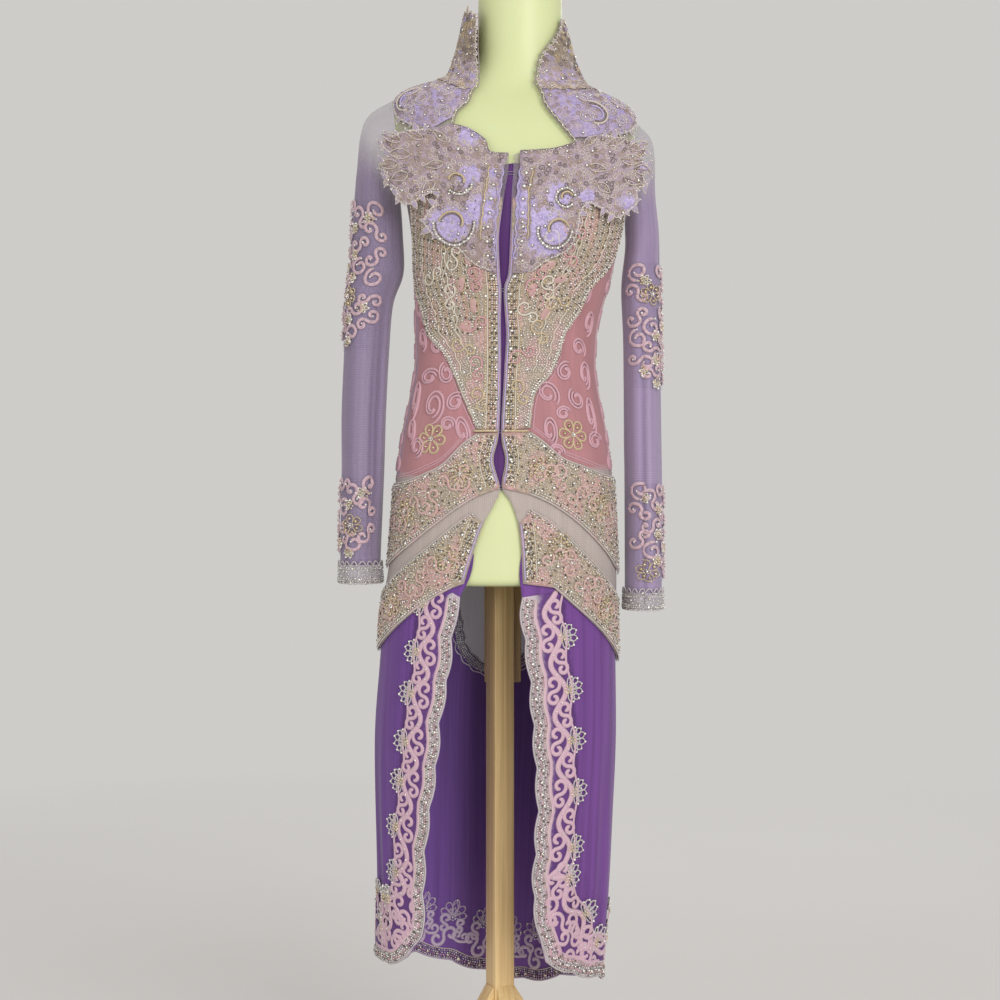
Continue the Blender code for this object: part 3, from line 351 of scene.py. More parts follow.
def collar_base(degrees, v):
    degrees, v = np.broadcast_arrays(degrees, v)
    share = np.clip(v / COLLAR_TALL, 0, 1.15)
    seam = table_at(collar_seam, degrees.ravel())[0] + SEAM_FALL * np.minimum(v.ravel(), 0)
    low = body.at(pairs(degrees.ravel(), seam), COLLAR_OUT).reshape(*degrees.shape, 3)
    angle, lean = np.radians(degrees), share ** COLLAR_LEAN
    top = np.stack([COLLAR_CENTRE[0] + COLLAR_RADIUS * np.sin(angle),
                    COLLAR_CENTRE[1] - COLLAR_RADIUS * np.cos(angle), table_at(COLLAR_TOP, degrees)[0]], -1)
    return low + (top - low) * np.stack([lean, lean, share], -1)


neck = Ground(collar_base, 0.00125, ((-1, -1), (1, 1)))
print("collar at the nape:", neck.base(-180.0, COLLAR_TALL).round(3))

# %% [markdown]
# ## Drafting, cutting and laying cloth
#
# A pattern piece is a closed outline. We fill it with an even net of points, join them into triangles, lay them on
# the ground, and give the cloth its thickness. Every point carries a colour, `tint`, whose alpha says how much the
# cloth covers, because one bodice front is sheer at the shoulder, pink at the waist and grey at the hip.

# %% Lines on a pattern
def smooth(points, step=0.005):
    """Places about step metres apart on a smooth curve through the given (degrees, height) points."""
    points = np.array(points, float)
    gaps = np.hypot(np.diff(points[:, 0]) * DEGREE, np.diff(points[:, 1]))
    padded = np.vstack([points[:1], points, points[-1:]])
    made = []
    for k, gap in enumerate(gaps):
        count = max(1, round(gap / step))
        t = (np.arange(count) / count)[:, None]
        before, a, b, after = padded[k:k + 4]
        made.append(0.5 * (2 * a + (b - before) * t + (2 * before - 5 * a + 4 * b - after) * t**2
                           + (3 * a - before - 3 * b + after) * t**3))
    return np.vstack(made + [points[-1:]])


def front_line(table, side, low, high, step=0.004):
    """A front edge as (degrees, height), from low to high."""
    line = smooth([(degrees_at(xs[side > 0], z), z) for z, *xs in sorted(table)], step)
    return line[(line[:, 1] >= low - 1e-6) & (line[:, 1] <= high + 1e-6)]


def beside(ground, line, inset):
    """The line moved over to its left-hand side by a distance on the cloth."""
    line = np.asarray(line, float)
    scale = ground.scale(line)
    along = unit(np.gradient(line, axis=0) * scale)
    return line + pairs(-along[:, 1], along[:, 0]) * np.reshape(inset, (-1, 1)) / scale


def run_of(ground, line):
    """How far along the cloth each place of a line is."""
    gaps = np.linalg.norm(np.diff(ground.base(*np.asarray(line, float).T), axis=0), axis=1)
    return np.concatenate([[0], np.cumsum(gaps)])


def spots(ground, line, run, at):
    """The places at some distances along a line, and the line's direction at each, in radians."""
    ahead = np.minimum(at + 0.001, run[-1])
    read = lambda where: pairs(np.interp(where, run, line[:, 0]), np.interp(where, run, line[:, 1]))
    places = read(at)
    step = (read(ahead) - read(ahead - 0.002)) * ground.scale(places)
    return places, np.arctan2(step[:, 1], step[:, 0])


def even(ground, line, pitch, phase=0.0):
    """Places spaced evenly along a line, and the line's direction at each."""
    line, run = np.asarray(line, float), run_of(ground, line)
    count = max(1, round(run[-1] / pitch))
    return spots(ground, line, run, (np.arange(count) + phase) / count * run[-1])


def step_aside(ground, places, angles, inset):
    """Places moved over to the left-hand side of their directions by a distance on the cloth."""
    return places + pairs(-np.sin(angles), np.cos(angles)) * inset / ground.scale(places)


def scallops(ground, line, pitch, depth):
    """The line with round scallops on its left-hand side, or its right with a negative depth."""
    run = run_of(ground, line)
    pitch = run[-1] / max(1, round(run[-1] / pitch))
    return beside(ground, line, depth * np.abs(np.sin(np.pi * run / pitch)))


def within(points, outline):
    """Which points lie inside a closed outline, both in metres."""
    a, b = outline, np.roll(outline, -1, axis=0)
    x, y = points[:, :1], points[:, 1:]
    spans = (a[:, 1] > y) != (b[:, 1] > y)
    cross = a[:, 0] + (y - a[:, 1]) * (b[:, 0] - a[:, 0]) / np.where(b[:, 1] == a[:, 1], 1e-9, b[:, 1] - a[:, 1])
    return (np.sum(spans & (x < cross), axis=1) % 2) == 1


def clearance(points, outline):
    """How far each point lies from an outline, in metres."""
    a, b = outline, np.roll(outline, -1, axis=0)
    step = b - a
    size = np.maximum((step**2).sum(1), 1e-12)
    share = np.clip(((points[:, None] - a) * step).sum(2) / size, 0, 1)
    return np.linalg.norm(points[:, None] - a - share[..., None] * step, axis=2).min(1)


print("a front edge has", len(front_line(FRONT_EDGE, 1, 0.75, 1.29)), "places")


# %% Cut a piece, lay it and give it its thickness
def mesh_from(name, points, face_sets):
    """A mesh from arrays: points, and faces in one array for each number of corners."""
    mesh = bpy.data.meshes.new(name)
    loops = np.concatenate([np.asarray(faces).ravel() for faces in face_sets]).astype(np.int32)
    sizes = np.concatenate([np.full(len(faces), np.shape(faces)[1], np.int32) for faces in face_sets])
    mesh.vertices.add(len(points))
    mesh.vertices.foreach_set("co", np.asarray(points, np.float32).ravel())
    mesh.loops.add(len(loops))
    mesh.loops.foreach_set("vertex_index", loops)
    mesh.polygons.add(len(sizes))
    mesh.polygons.foreach_set("loop_start", np.concatenate([[0], np.cumsum(sizes)[:-1]]).astype(np.int32))
    mesh.update(calc_edges=True)
    mesh.validate()
    return mesh, loops


def paint(mesh, loops, tints, flat=None):
    """Gives a mesh its tint attribute, and a UV map in metres."""
    colours = mesh.attributes.new("tint", "FLOAT_COLOR", "POINT")
    colours.data.foreach_set("color", np.asarray(tints, np.float32).ravel())
    if flat is not None:
        mesh.uv_layers.new(name="thread").data.foreach_set("uv", np.asarray(flat, np.float32)[loops].ravel())


def new_object(name, data):
    made = bpy.data.objects.new(name, data)
    bpy.context.scene.collection.objects.link(made)
    return made


def show(name, mesh, finish, smooth=True):
    made = new_object(name, mesh)
    mesh.materials.append(finish)
    if smooth:
        mesh.shade_smooth()
    return made


def select_only(made):
    bpy.ops.object.select_all(action="DESELECT")
    bpy.context.view_layer.objects.active = made
    made.select_set(True)


def apply(made, kind, **settings):
    """Adds a modifier with its settings and applies it."""
    select_only(made)
    modifier = made.modifiers.new(kind.lower(), kind)
    for key, value in settings.items():
        setattr(modifier, key, value)
    bpy.ops.object.modifier_apply(modifier=modifier.name)
    made.select_set(False)


def lattice(outline, cell):
    """Even rows of points inside an outline, in metres, each at least half a cell from its edge."""
    low, high = outline.min(0), outline.max(0)
    rows = np.arange(low[1], high[1], cell * math.sqrt(0.75))
    points = np.vstack([pairs(np.arange(low[0] + (k % 2) * cell / 2, high[0], cell), y) for k, y in enumerate(rows)])
    points = points[within(points, outline)]
    return points[clearance(points, outline) > cell * 0.5]


CLOTH = 0.0006  # thickness of one layer, and the fine cloth starts where its solid does
cloths = {}


def sew_cloth(name, ground, outline, out, kind, tint, over=None, cell=0.0055, strip=None):
    """One pattern piece of cloth, which stands for its solid. kind is its material, its slot and how it is held; tint
    gives its colour and cover at its places, and strip its width where it is a strip that follows a curve."""
    outline = np.array(outline, float)
    after = np.roll(outline, -1, axis=0)
    steps = np.ceil(np.linalg.norm(ground.flat(after) - ground.flat(outline), axis=1) / (1.2 * cell)).astype(int)
    outline = np.vstack([np.linspace(*ends, max(n, 1), endpoint=False) for *ends, n in zip(outline, after, steps)])
    edge = ground.flat(outline)
    edge = edge[np.linalg.norm(edge - np.roll(edge, 1, axis=0), axis=1) > 0.0003]
    points = np.vstack([edge, lattice(edge, cell)])
    flat, _, faces, *_ = delaunay_2d_cdt([Vector(p) for p in points], [], [list(range(len(edge)))], 1, 1e-7)
    used, faces = np.unique(np.array(faces), return_inverse=True)
    flat, faces = np.array(flat)[used], faces.reshape(-1, 3)
    a, b, c = flat[faces.T]
    turn = (b - a)[:, 0] * (c - a)[:, 1] - (b - a)[:, 1] * (c - a)[:, 0]
    faces[turn < 0] = faces[turn < 0][:, ::-1]
    finish_cloth(name, ground, ground.unflat(flat), faces, out, kind, tint, over, flat, edge)
    if strip:
        cloths[name]["size"] = (strip, round(cloths[name]["area"] / strip * 1.002, 4))


def finish_cloth(name, ground, places, faces, out, kind, tint, over, flat, edge):
    finish, slot, held = kind
    points = ground.at(places, out)
    mesh, loops = mesh_from(name + "_cloth", points, [faces])
    paint(mesh, loops, tint(*places.T), flat)
    made = show(name + "_cloth", mesh, finish)
    a, b, c = points[faces[:, :3].T]
    area = float(np.linalg.norm(np.cross(b - a, c - a), axis=1).sum() / 2 * (faces.shape[1] - 2))
    apply(made, "SOLIDIFY", thickness=CLOTH, offset=1)
    wide, long = np.ptp(ground.flat(places), axis=0)
    size = (round(float(wide * max(1.0, area / (wide * long))) * 1.002, 4), round(float(long), 4))
    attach(made, "root")
    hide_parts(name)
    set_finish(made, slot)
    cloths[name] = {"ground": ground, "places": places, "faces": faces, "points": points, "out": out, "edge": edge,
                    "size": size, "area": area, "held": held, "object": made, "with": [],
                    "rests_on": [one + "_cloth" for one in over.split()] if over else ["dress_form_skin"]}
    print(f"{name}: cut {size[0]:.3f} x {size[1]:.3f} m, {area:.4f} m2, {len(faces)} faces")


def tube_cloth(name, ground, columns, heights, out, kind, tint, over, closed=True):
    """Cloth in rows of four-sided faces. A closed tube joins its last column to its first."""
    places = np.array([(u, z) for z in heights for u in columns])
    wide, k = len(columns), np.arange(len(columns) - (not closed))
    rows, after = np.arange(len(heights) - 1)[:, None] * wide, (k + 1) % wide
    faces = np.stack(np.broadcast_arrays(rows + k, rows + after, rows + wide + after, rows + wide + k), -1)
    flat = ground.flat(places)
    (x0, y0), (x1, y1) = flat.min(0), flat.max(0)
    edge = np.array([(x0, y0), (x1, y0), (x1, y1), (x0, y1)])
    finish_cloth(name, ground, places, faces.reshape(-1, 4), out, kind, tint, over, flat, edge)

# %% [markdown]
# ## Materials
#
# Each finish starts from the real stuff: moulded plastic, lacquered pine, nylon tulle, rayon cord, glass beads and
# metallised sequins. Cloth and trimmings read their colour from the `tint` attribute, so one recipe serves pieces
# that change colour from place to place.

# %% Small helpers
def colour(code, cover=1.0):
    """An sRGB hex code as linear light, with how much it covers."""
    parts = [int(code[k:k + 2], 16) / 255 for k in (1, 3, 5)]
    return np.array([p / 12.92 if p <= 0.04045 else ((p + 0.055) / 1.055) ** 2.4 for p in parts] + [cover])


def wire(tree, node, inputs):
    """Sets a node's inputs, in order or by name: a socket is linked, and anything else is a plain value."""
    for socket, value in inputs.items() if isinstance(inputs, dict) else enumerate(inputs):
        if isinstance(value, bpy.types.NodeSocket):
            tree.links.new(value, node.inputs[socket])
        else:
            node.inputs[socket].default_value = value


def add_node(tree, kind, inputs=(), out=0, **settings):
    """Adds a node with its settings and inputs, and gives back one of its outputs."""
    node = tree.nodes.new("ShaderNode" + kind)
    for key, value in settings.items():
        setattr(node, key, value)
    wire(tree, node, inputs)
    return node.outputs[out]


def noise(tree, places, scale, detail=2.0, out=0, flat=False, **inputs):
    return add_node(tree, "TexNoise", {"Vector": places, "Scale": scale, "Detail": detail, **inputs}, out,
                    noise_dimensions="2D" if flat else "3D")


def ramp(tree, value, low, high, first, last):
    """A value carried over evenly: low becomes first, and high becomes last."""
    return add_node(tree, "MapRange", (value, low, high, first, last))


def blend(tree, share, first, second):
    return add_node(tree, "Mix", {0: share, 6: first, 7: second}, 2, data_type="RGBA")


def bump(tree, height, strength, depth):
    return add_node(tree, "Bump", {"Strength": strength, "Distance": depth, "Height": height})


def shade(tree, **inputs):
    wire(tree, tree.nodes["Principled BSDF"], {name.replace("_", " "): value for name, value in inputs.items()})


def new_material(name, **values):
    """A material whose plain numbers are set on the shader's own sockets."""
    made = bpy.data.materials.new(name)
    made.use_nodes = True
    shade(made.node_tree, **values)
    return made, made.node_tree


def tinted(tree, value):
    """The piece's own colour, made lighter or darker by a value."""
    tint = add_node(tree, "Attribute", attribute_name="tint")
    return add_node(tree, "VectorMath", {0: tint, "Scale": value}, operation="SCALE")


# %% Tulle: nylon net, knitted in small hexagons
# Real tulle has holes of about 1 mm. Ours are drawn at 2.2 mm, the finest that shows at this distance. The cloth
# is soft and dull, a little darker and lighter in streaks where it hangs, and its sheen shows at the folds' edges.
TULLE_HOLE, STREAK = 0.0022, (140.0, 2.2, 1.0)


def tulle(name, streaks, roughness=0.75, sheen=0.25):
    made, tree = new_material(name, Roughness=roughness, Sheen_Weight=sheen, Specular_IOR_Level=0.2)
    thread = add_node(tree, "UVMap", uv_map="thread")
    along = add_node(tree, "Mapping", {"Vector": thread, "Scale": STREAK})
    streak = noise(tree, along, 1.0, 3.0, flat=True, Roughness=0.6)
    holes = add_node(tree, "TexVoronoi", {"Vector": thread, "Scale": 1 / TULLE_HOLE, "Randomness": 0.25},
                     voronoi_dimensions="2D", feature="DISTANCE_TO_EDGE")
    streak = ramp(tree, streak, 0.3, 0.7, 1 - streaks, 1 + streaks)
    threads = ramp(tree, holes, 0.0, 0.35, 1.06, 0.92)
    value = add_node(tree, "Math", (streak, threads), operation="MULTIPLY")
    cover = ramp(tree, holes, 0.0, 0.35, 1.1, 0.94)
    alpha = add_node(tree, "Attribute", out="Alpha", attribute_name="tint")
    shade(tree, Base_Color=tinted(tree, value),
          Alpha=add_node(tree, "Math", (alpha, cover), operation="MULTIPLY", use_clamp=True),
          Normal=bump(tree, holes, -0.35, 0.0005))
    return made


sheer_tulle, lined_tulle = tulle("sheer_tulle", 0.1), tulle("lined_tulle", 0.05)
violet_tulle = tulle("violet_tulle", 0.16, roughness=0.62, sheen=0.12)


# %% Lace grounds: a net closely covered by stitching
# The stitching under cords and beads lies in short curls. Small cells of two shades and a bump stand for it, the darker
# shade in the bump's hollows as painted shade.
STITCH_CURL = 0.0032


def lace_ground(name, contrast):
    made, tree = new_material(name, Sheen_Weight=0.3)
    thread = add_node(tree, "UVMap", uv_map="thread")
    wander = noise(tree, thread, 260.0, 1.0, "Color", flat=True)
    bent = add_node(tree, "VectorMath", {0: wander, "Scale": 0.004}, operation="SCALE")
    bent = add_node(tree, "VectorMath", (thread, bent), operation="ADD")
    curls = add_node(tree, "TexVoronoi", {"Vector": bent, "Scale": 1 / STITCH_CURL}, voronoi_dimensions="2D",
                     feature="SMOOTH_F1")
    # painted shade: each cell is darker in its hollow, where the bump is low
    shade(tree, Base_Color=tinted(tree, ramp(tree, curls, 0.1, 0.75, 1 - contrast, 1 + contrast)),
          Roughness=ramp(tree, curls, 0.1, 0.75, 0.75, 0.5),
          Normal=bump(tree, curls, 0.5, 0.0008))
    return made


beaded_net, lilac_lace = lace_ground("beaded_net", 0.22), lace_ground("lilac_lace", 0.18)

# %% Rayon cord: two shiny strands twisted together, and couched down
# The twist shows as slanting ridges, one each 1.1 mm along the cord, with a silky sheen. The grooves between the ridges
# are painted darker, as painted shade.
TWIST = 0.0011
rayon_cord, tree = new_material("rayon_cord", Roughness=0.42, Sheen_Weight=0.35, Specular_IOR_Level=0.45)
thread = add_node(tree, "UVMap", uv_map="thread")
slant = add_node(tree, "Mapping", {"Vector": thread, "Rotation": (0, 0, math.radians(35))})
twist = add_node(tree, "TexWave", {"Vector": slant, "Scale": 0.314 / TWIST, "Distortion": 0.6}, "Fac")
# painted shade: the colour darkens in the grooves of the twist
shade(tree, Base_Color=tinted(tree, ramp(tree, twist, 0.0, 1.0, 0.82, 1.08)),
      Normal=bump(tree, twist, 0.4, 0.0003))


# %% Glass beads, lined with silver or gold, and metallised film sequins
# Both glitter: their facets mirror the lamps. Fine dust and scratches change the gloss from bead to bead.
def glitter(name, metallic, low, high):
    made, tree = new_material(name, Metallic=metallic, Coat_Weight=0.4, Coat_Roughness=0.08)
    places = add_node(tree, "TexCoord", out="Object")
    dust = noise(tree, places, 420.0)
    shade(tree, Base_Color=tinted(tree, ramp(tree, dust, 0.3, 0.7, 0.92, 1.08)),
          Roughness=ramp(tree, dust, 0.3, 0.7, low, high))
    return made


glass_beads, sequin_film = glitter("glass_beads", 0.45, 0.18, 0.38), glitter("sequin_film", 0.8, 0.12, 0.3)
print("materials:", [m.name for m in (sheer_tulle, lined_tulle, violet_tulle, beaded_net, lilac_lace, rayon_cord)])

# %% [markdown]
# ## Cords, beads and sequins
#
# Kebaya lace is machine embroidery: flat and round cords couched onto net in scrolls, leaves and flowers, then beads
# and sequins sewn on by hand. A cord here is a small closed strip laid along a line. A bead is a squashed
# octahedron, and a sequin a shallow six-sided disc. Thousands of them are joined in one mesh for each piece.

# %% Shapes of the embroidery, in metres, growing from the origin
def spiral(reach, turns=1.4, count=20, tight=0.8):
    """Leaves the origin along +X and winds in, round a centre at (0, reach)."""
    t = np.linspace(0, 1, count)
    radius, angle = reach * (1 - tight * t**1.35), -np.pi / 2 + 2 * np.pi * turns * t
    return pairs(radius * np.cos(angle), reach + radius * np.sin(angle))


def s_scroll(reach, turns=1.2, count=16):
    one = spiral(reach, turns, count)
    return np.vstack([one[::-1], -one[1:]])


def curl_pair(big, small, turns=1.05, count=18):
    """Two curls of different sizes, wound opposite ways from one root."""
    return np.vstack([spiral(big, turns, count, 0.84)[::-1], -spiral(small, turns, count, 0.84)[1:]])


def arc(reach, start, end, shrink=0.0, count=28):
    """Part of a ring, from one angle to another in degrees, which shrink draws in towards its centre."""
    t = np.linspace(0, 1, count)
    angle = np.radians(start + (end - start) * t)
    return (reach * (1 - shrink * t))[:, None] * pairs(np.cos(angle), np.sin(angle))


def c_scroll(reach, gap, turns=1.2, count=15):
    one = spiral(reach, turns, count) + (gap, 0)
    t = np.linspace(-1, 1, 6)[1:-1]
    return np.vstack([(one * (-1, 1))[::-1], pairs(t * gap, -0.22 * gap * (1 - t**2)), one])


def teardrop(length, width, count=11):
    t = np.linspace(0, 1, count)
    return pairs(width / 2 * np.sin(2 * np.pi * t), length * np.sin(np.pi * t))


def leaf(length, width, count=7):
    t = np.linspace(0, 1, count)
    half = pairs(width / 2 * np.sin(np.pi * t**0.8), length * t)
    return np.vstack([half, (half * (-1, 1))[::-1][1:]])


def straight(low, high, count):
    """A line up from one height to another."""
    return pairs(0.0, np.linspace(low, high, count))


def turned(line, degrees):
    c, s = math.cos(math.radians(degrees)), math.sin(math.radians(degrees))
    return line @ np.array([[c, s], [-s, c]])


def fan(loops, length, width, spread):
    """Loops side by side, opening upwards, the middle one longest."""
    shares = np.linspace(-1, 1, loops)
    return [turned(teardrop(length * (1 - 0.25 * abs(share)), width), -share * spread) for share in shares]


def flower(petals, length, width):
    return [turned(teardrop(length, width), 360 * k / petals) for k in range(petals)]


def set_down(ground, lines, places, angles=0.0, side=1, scale=1.0):
    """Copies of some lines on a ground, at each place, each turned by its angle."""
    places = np.atleast_2d(np.asarray(places, float))
    angles, scales = np.broadcast_to(angles, len(places)), np.broadcast_to(scale, len(places))
    made = []
    for place, angle, size, spread in zip(places, angles, scales, ground.scale(places)):
        c, s = math.cos(angle), math.sin(angle)
        made += [place + (line * (side * size, size)) @ (np.array([[c, s], [-s, c]]) / spread) for line in lines]
    return made


def tips_of(lines):
    """The far end of each loop."""
    return np.array([line[len(line) // 2] for line in lines])


print("an S of 10 mm scrolls has", len(s_scroll(0.01)), "places")


# %% Trimmings for one piece
FLAT_CORD = np.array(((-0.5, 0.0), (-0.32, 0.8), (0.32, 0.8), (0.5, 0.0)))
ROUND_CORD = np.array(((-0.5, 0.0), (0.0, 1.0), (0.5, 0.0)))
BEAD = (np.array(((1, 0, 0), (0, 1, 0), (-1, 0, 0), (0, -1, 0), (0, 0, 1), (0, 0, -1)), float),
        np.array(((0, 1, 4), (1, 2, 4), (2, 3, 4), (3, 0, 4), (1, 0, 5), (2, 1, 5), (3, 2, 5), (0, 3, 5))))
six = [(math.cos(math.pi * k / 3), math.sin(math.pi * k / 3), 0) for k in range(6)]
SEQUIN = (np.array(six + [(0, 0, 1), (0, 0, -1)]),
          np.array([(k, (k + 1) % 6, 6) for k in range(6)] + [((k + 1) % 6, k, 7) for k in range(6)]))


class Trimming:
    """Cords, beads and sequins that wait to be sewn on one piece of cloth, on its outer or its inner side."""

    def __init__(self, cloth, seed, inner=False):
        self.cloth, self.stem, self.ground = cloth, cloth + ("_inner" if inner else ""), cloths[cloth]["ground"]
        self.out, self.way = cloths[cloth]["out"] + (0 if inner else CLOTH), -1 if inner else 1
        self.rng = np.random.default_rng(seed)
        self.strips, self.stones = {"flat": [], "round": []}, {"beads": [], "sequins": []}

    def cord(self, lines, width, tint, height=None, shape="round", lift=0.0):
        for line in lines if isinstance(lines, list) else [lines]:
            self.strips[shape].append((np.asarray(line, float), width, height or width * 0.6, tint, lift))

    def bead(self, places, size, tint, tall=0.75, lift=0.0, vary=None, film=False):
        """Beads, or film sequins, at some places: size is half their width, and tall a bead's height as a share."""
        kind, tall, vary = ("sequins", 0.22, vary or 0.2) if film else ("beads", tall, vary or 0.14)
        places = np.atleast_2d(places)
        shades = tint[:3] * (1 + vary * self.rng.uniform(-1, 1, (len(places), 1)))
        sizes = size * self.rng.uniform(0.85, 1.15, len(places))
        self.stones[kind].append((places, sizes, np.full(len(places), tall), shades, np.full(len(places), lift)))

    def trace(self, line, inset, *cord, **more):
        """A cord beside a line."""
        self.cord(beside(self.ground, line, inset), *cord, **more)

    def lay(self, shapes, places, angles, *cord, side=1, scale=1.0, **more):
        """Cords in some shapes, set down at places, and the lines that they follow."""
        lines = set_down(self.ground, shapes, places, angles, side, scale)
        self.cord(lines, *cord, **more)
        return lines

    def tips(self, shapes, places, angles=0.0):
        return tips_of(set_down(self.ground, shapes, places, angles))

    def row(self, line, pitch, size, tint, phase=0.0, inset=0.0, **more):
        """Beads set evenly along a line, or beside it."""
        line = beside(self.ground, line, inset) if inset else line
        self.bead(even(self.ground, line, pitch, phase)[0], size, tint, **more)

    def scatter(self, spacing, seed, margin, size, tint, **more):
        """Beads sprinkled over the whole piece."""
        self.bead(sprinkle(self.cloth, spacing, seed, margin), size, tint, **more)

    def sew(self):
        """Makes the cords' mesh and the stones' meshes."""
        made = [piece for piece in (self.sew_strips(), *map(self.sew_stones, self.stones)) if piece]
        for piece in made:
            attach(piece, "root")
            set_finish(piece, cloths[self.cloth]["object"]["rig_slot"])
        cloths[self.cloth]["with"] += made
        print(self.stem, {piece.name: len(piece.data.polygons) for piece in made})

    def sew_strips(self):
        points, quads, ends, tints, flats, start = [], [], [], [], [], 0
        for shape, section in (("flat", FLAT_CORD), ("round", ROUND_CORD)):
            if not self.strips[shape]:
                continue
            seen, normals, _, _ = self.ground.look(np.vstack([strip[0] for strip in self.strips[shape]]))
            seen, normals = seen + normals * self.out, normals * self.way
            first, corners = 0, len(section)
            for line, width, height, tint, lift in self.strips[shape]:
                count = len(line)
                at, normal = seen[first:first + count], normals[first:first + count]
                first += count
                aside = np.cross(normal, unit(np.gradient(at, axis=0)))
                taper = np.clip(np.minimum(np.arange(count), np.arange(count)[::-1]) * 0.5 + 0.45, 0, 1)[:, None, None]
                ring = (at + normal * (lift - 0.0001))[:, None] + aside[:, None] * section[:, :1] * width * taper
                points.append((ring + normal[:, None] * section[:, 1:] * height * taper).reshape(-1, 3))
                run = np.concatenate([[0], np.cumsum(np.linalg.norm(np.diff(at, axis=0), axis=1))])
                flats.append(pairs(run[:, None], section[:, 0] * width * 1.6).reshape(-1, 2))
                tints.append(np.tile(tint, (count * corners, 1)))
                step = start + np.arange(count - 1)[:, None] * corners
                k, after = np.arange(corners), (np.arange(corners) + 1) % corners
                quads.append(np.stack([step + k, step + corners + k, step + corners + after, step + after], -1)
                             .reshape(-1, 4))
                last = start + (count - 1) * corners
                ends.append((start + k, last + k[::-1]))
                start += count * corners
        if not points:
            return None
        caps = [[cap for pair in ends for cap in pair if len(cap) == corners] for corners in (3, 4)]
        sets = [np.vstack(quads)] + [np.array(some) for some in caps if some]
        mesh, loops = mesh_from(self.stem + "_cords", np.vstack(points), sets)
        paint(mesh, loops, np.vstack(tints), np.vstack(flats))
        return show(mesh.name, mesh, rayon_cord)

    def sew_stones(self, kind):
        if not self.stones[kind]:
            return None
        places, sizes, talls, shades, lifts = (np.concatenate(part) for part in zip(*self.stones[kind]))
        corners, faces = BEAD if kind == "beads" else SEQUIN
        at, normal, _, _ = self.ground.look(places)
        at, normal = at + normal * self.out, normal * self.way
        aside = unit(np.cross(normal, (0.0, 0.0, 1.0)))
        spin = self.rng.uniform(0, 2 * np.pi, (len(at), 1))
        first = aside * np.cos(spin) + np.cross(normal, aside) * np.sin(spin)
        tip = unit(normal + 0.22 * self.rng.normal(size=at.shape))
        first = unit(first - tip * (first * tip).sum(1, keepdims=True))
        second = np.cross(tip, first)
        centre = at + normal * (lifts + sizes * talls * 0.8)[:, None]
        points = (centre[:, None] + (first[:, None] * corners[:, :1] + second[:, None] * corners[:, 1:2])
                  * sizes[:, None, None] + tip[:, None] * corners[:, 2:] * (sizes * talls)[:, None, None])
        faces = (faces + np.arange(len(at))[:, None, None] * len(corners)).reshape(-1, 3)
        mesh, loops = mesh_from(f"{self.stem}_{kind}", points.reshape(-1, 3), [faces])
        tints = np.column_stack([np.clip(shades, 0, 1), np.ones(len(shades))]).repeat(len(corners), axis=0)
        paint(mesh, loops, tints)
        return show(mesh.name, mesh, glass_beads if kind == "beads" else sequin_film, smooth=False)


def sprinkle(cloth, spacing, seed, margin=0.0):
    """Places spread over a laid cloth, none nearer to the next than spacing, nor to its edge than margin."""
    piece, rng = cloths[cloth], np.random.default_rng(seed)
    points, places, faces = piece["points"], piece["places"], piece["faces"]
    if faces.shape[1] == 4:
        faces = np.vstack([faces[:, :3], faces[:, [0, 2, 3]]])
    a, b, c = points[faces.T]
    areas = np.linalg.norm(np.cross(b - a, c - a), axis=1)
    tries = int(areas.sum() / 2 / spacing**2 * 5) + 8
    chosen = rng.choice(len(faces), tries, p=areas / areas.sum())
    weights = rng.dirichlet((1, 1, 1), tries)
    at = (points[faces[chosen]] * weights[..., None]).sum(1)
    marks = places[faces[chosen]]
    marks[..., 0] += 360 * (marks[..., 0] < marks[..., :1].max(1) - 180)  # where a tube's last column meets its first
    where = (marks * weights[..., None]).sum(1)
    if margin:
        keep = clearance(piece["ground"].flat(where), piece["edge"]) > margin
        at, where = at[keep], where[keep]
    tree = KDTree(len(at))
    for k, point in enumerate(at):
        tree.insert(point, k)
    tree.balance()
    kept = np.ones(len(at), bool)
    for k, point in enumerate(at):
        if kept[k]:
            for _, other, _ in tree.find_range(point, spacing):
                kept[other] = other == k
    return where[kept]

# %% [markdown]
# ## The dress form and its stand
#
# The form is a hollow moulding of cream plastic. We lay rings a little inside the garment's surface, close them, and
# cut the post's socket. The stand is sawn pine: each board is a copy of its solid, with its edges eased.

# %% Plastic and wood
# Satin polystyrene: almost even in colour, with faint clouds and a fine orange-peel skin.
form_plastic, tree = new_material("form_plastic", Roughness=0.42, Specular_IOR_Level=0.4, Subsurface_Weight=0.12,
                                  Subsurface_Scale=0.01)
places = add_node(tree, "TexCoord", out="Object")
clouds = noise(tree, places, 7.0, 3.0)
peel = noise(tree, places, 260.0, 1.0)
shade(tree, Base_Color=blend(tree, clouds, colour("#c9ce96"), colour("#d3daab")),
      Normal=bump(tree, peel, 0.12, 0.0004))

# Lacquered pine: growth lines 4 mm apart run along each board, with finer fibres between them.
RING_GAP, FIBRE = 0.004, 0.0009
pine, tree = new_material("lacquered_pine", Coat_Weight=0.25, Coat_Roughness=0.25)
grain = add_node(tree, "Attribute", out="Vector", attribute_name="grain")
growth = add_node(tree, "Mapping", {"Vector": grain, "Scale": (1 / RING_GAP, 1 / RING_GAP, 3.5)})
growth = noise(tree, growth, 0.6, Distortion=0.8)
growth = ramp(tree, growth, 0.35, 0.68, 0, 1)
fibres = add_node(tree, "Mapping", {"Vector": grain, "Scale": (1 / FIBRE, 1 / FIBRE, 16.0)})
fibres = noise(tree, fibres, 1.0)
wood = blend(tree, growth, colour("#f3d49b"), colour("#d8b67c"))
dark = ramp(tree, fibres, 0.3, 0.9, 0, 0.45)
shade(tree, Base_Color=blend(tree, dark, wood, colour("#b8925c")),
      Roughness=ramp(tree, fibres, 0.3, 0.7, 0.38, 0.55),
      Normal=bump(tree, fibres, 0.25, 0.0005))

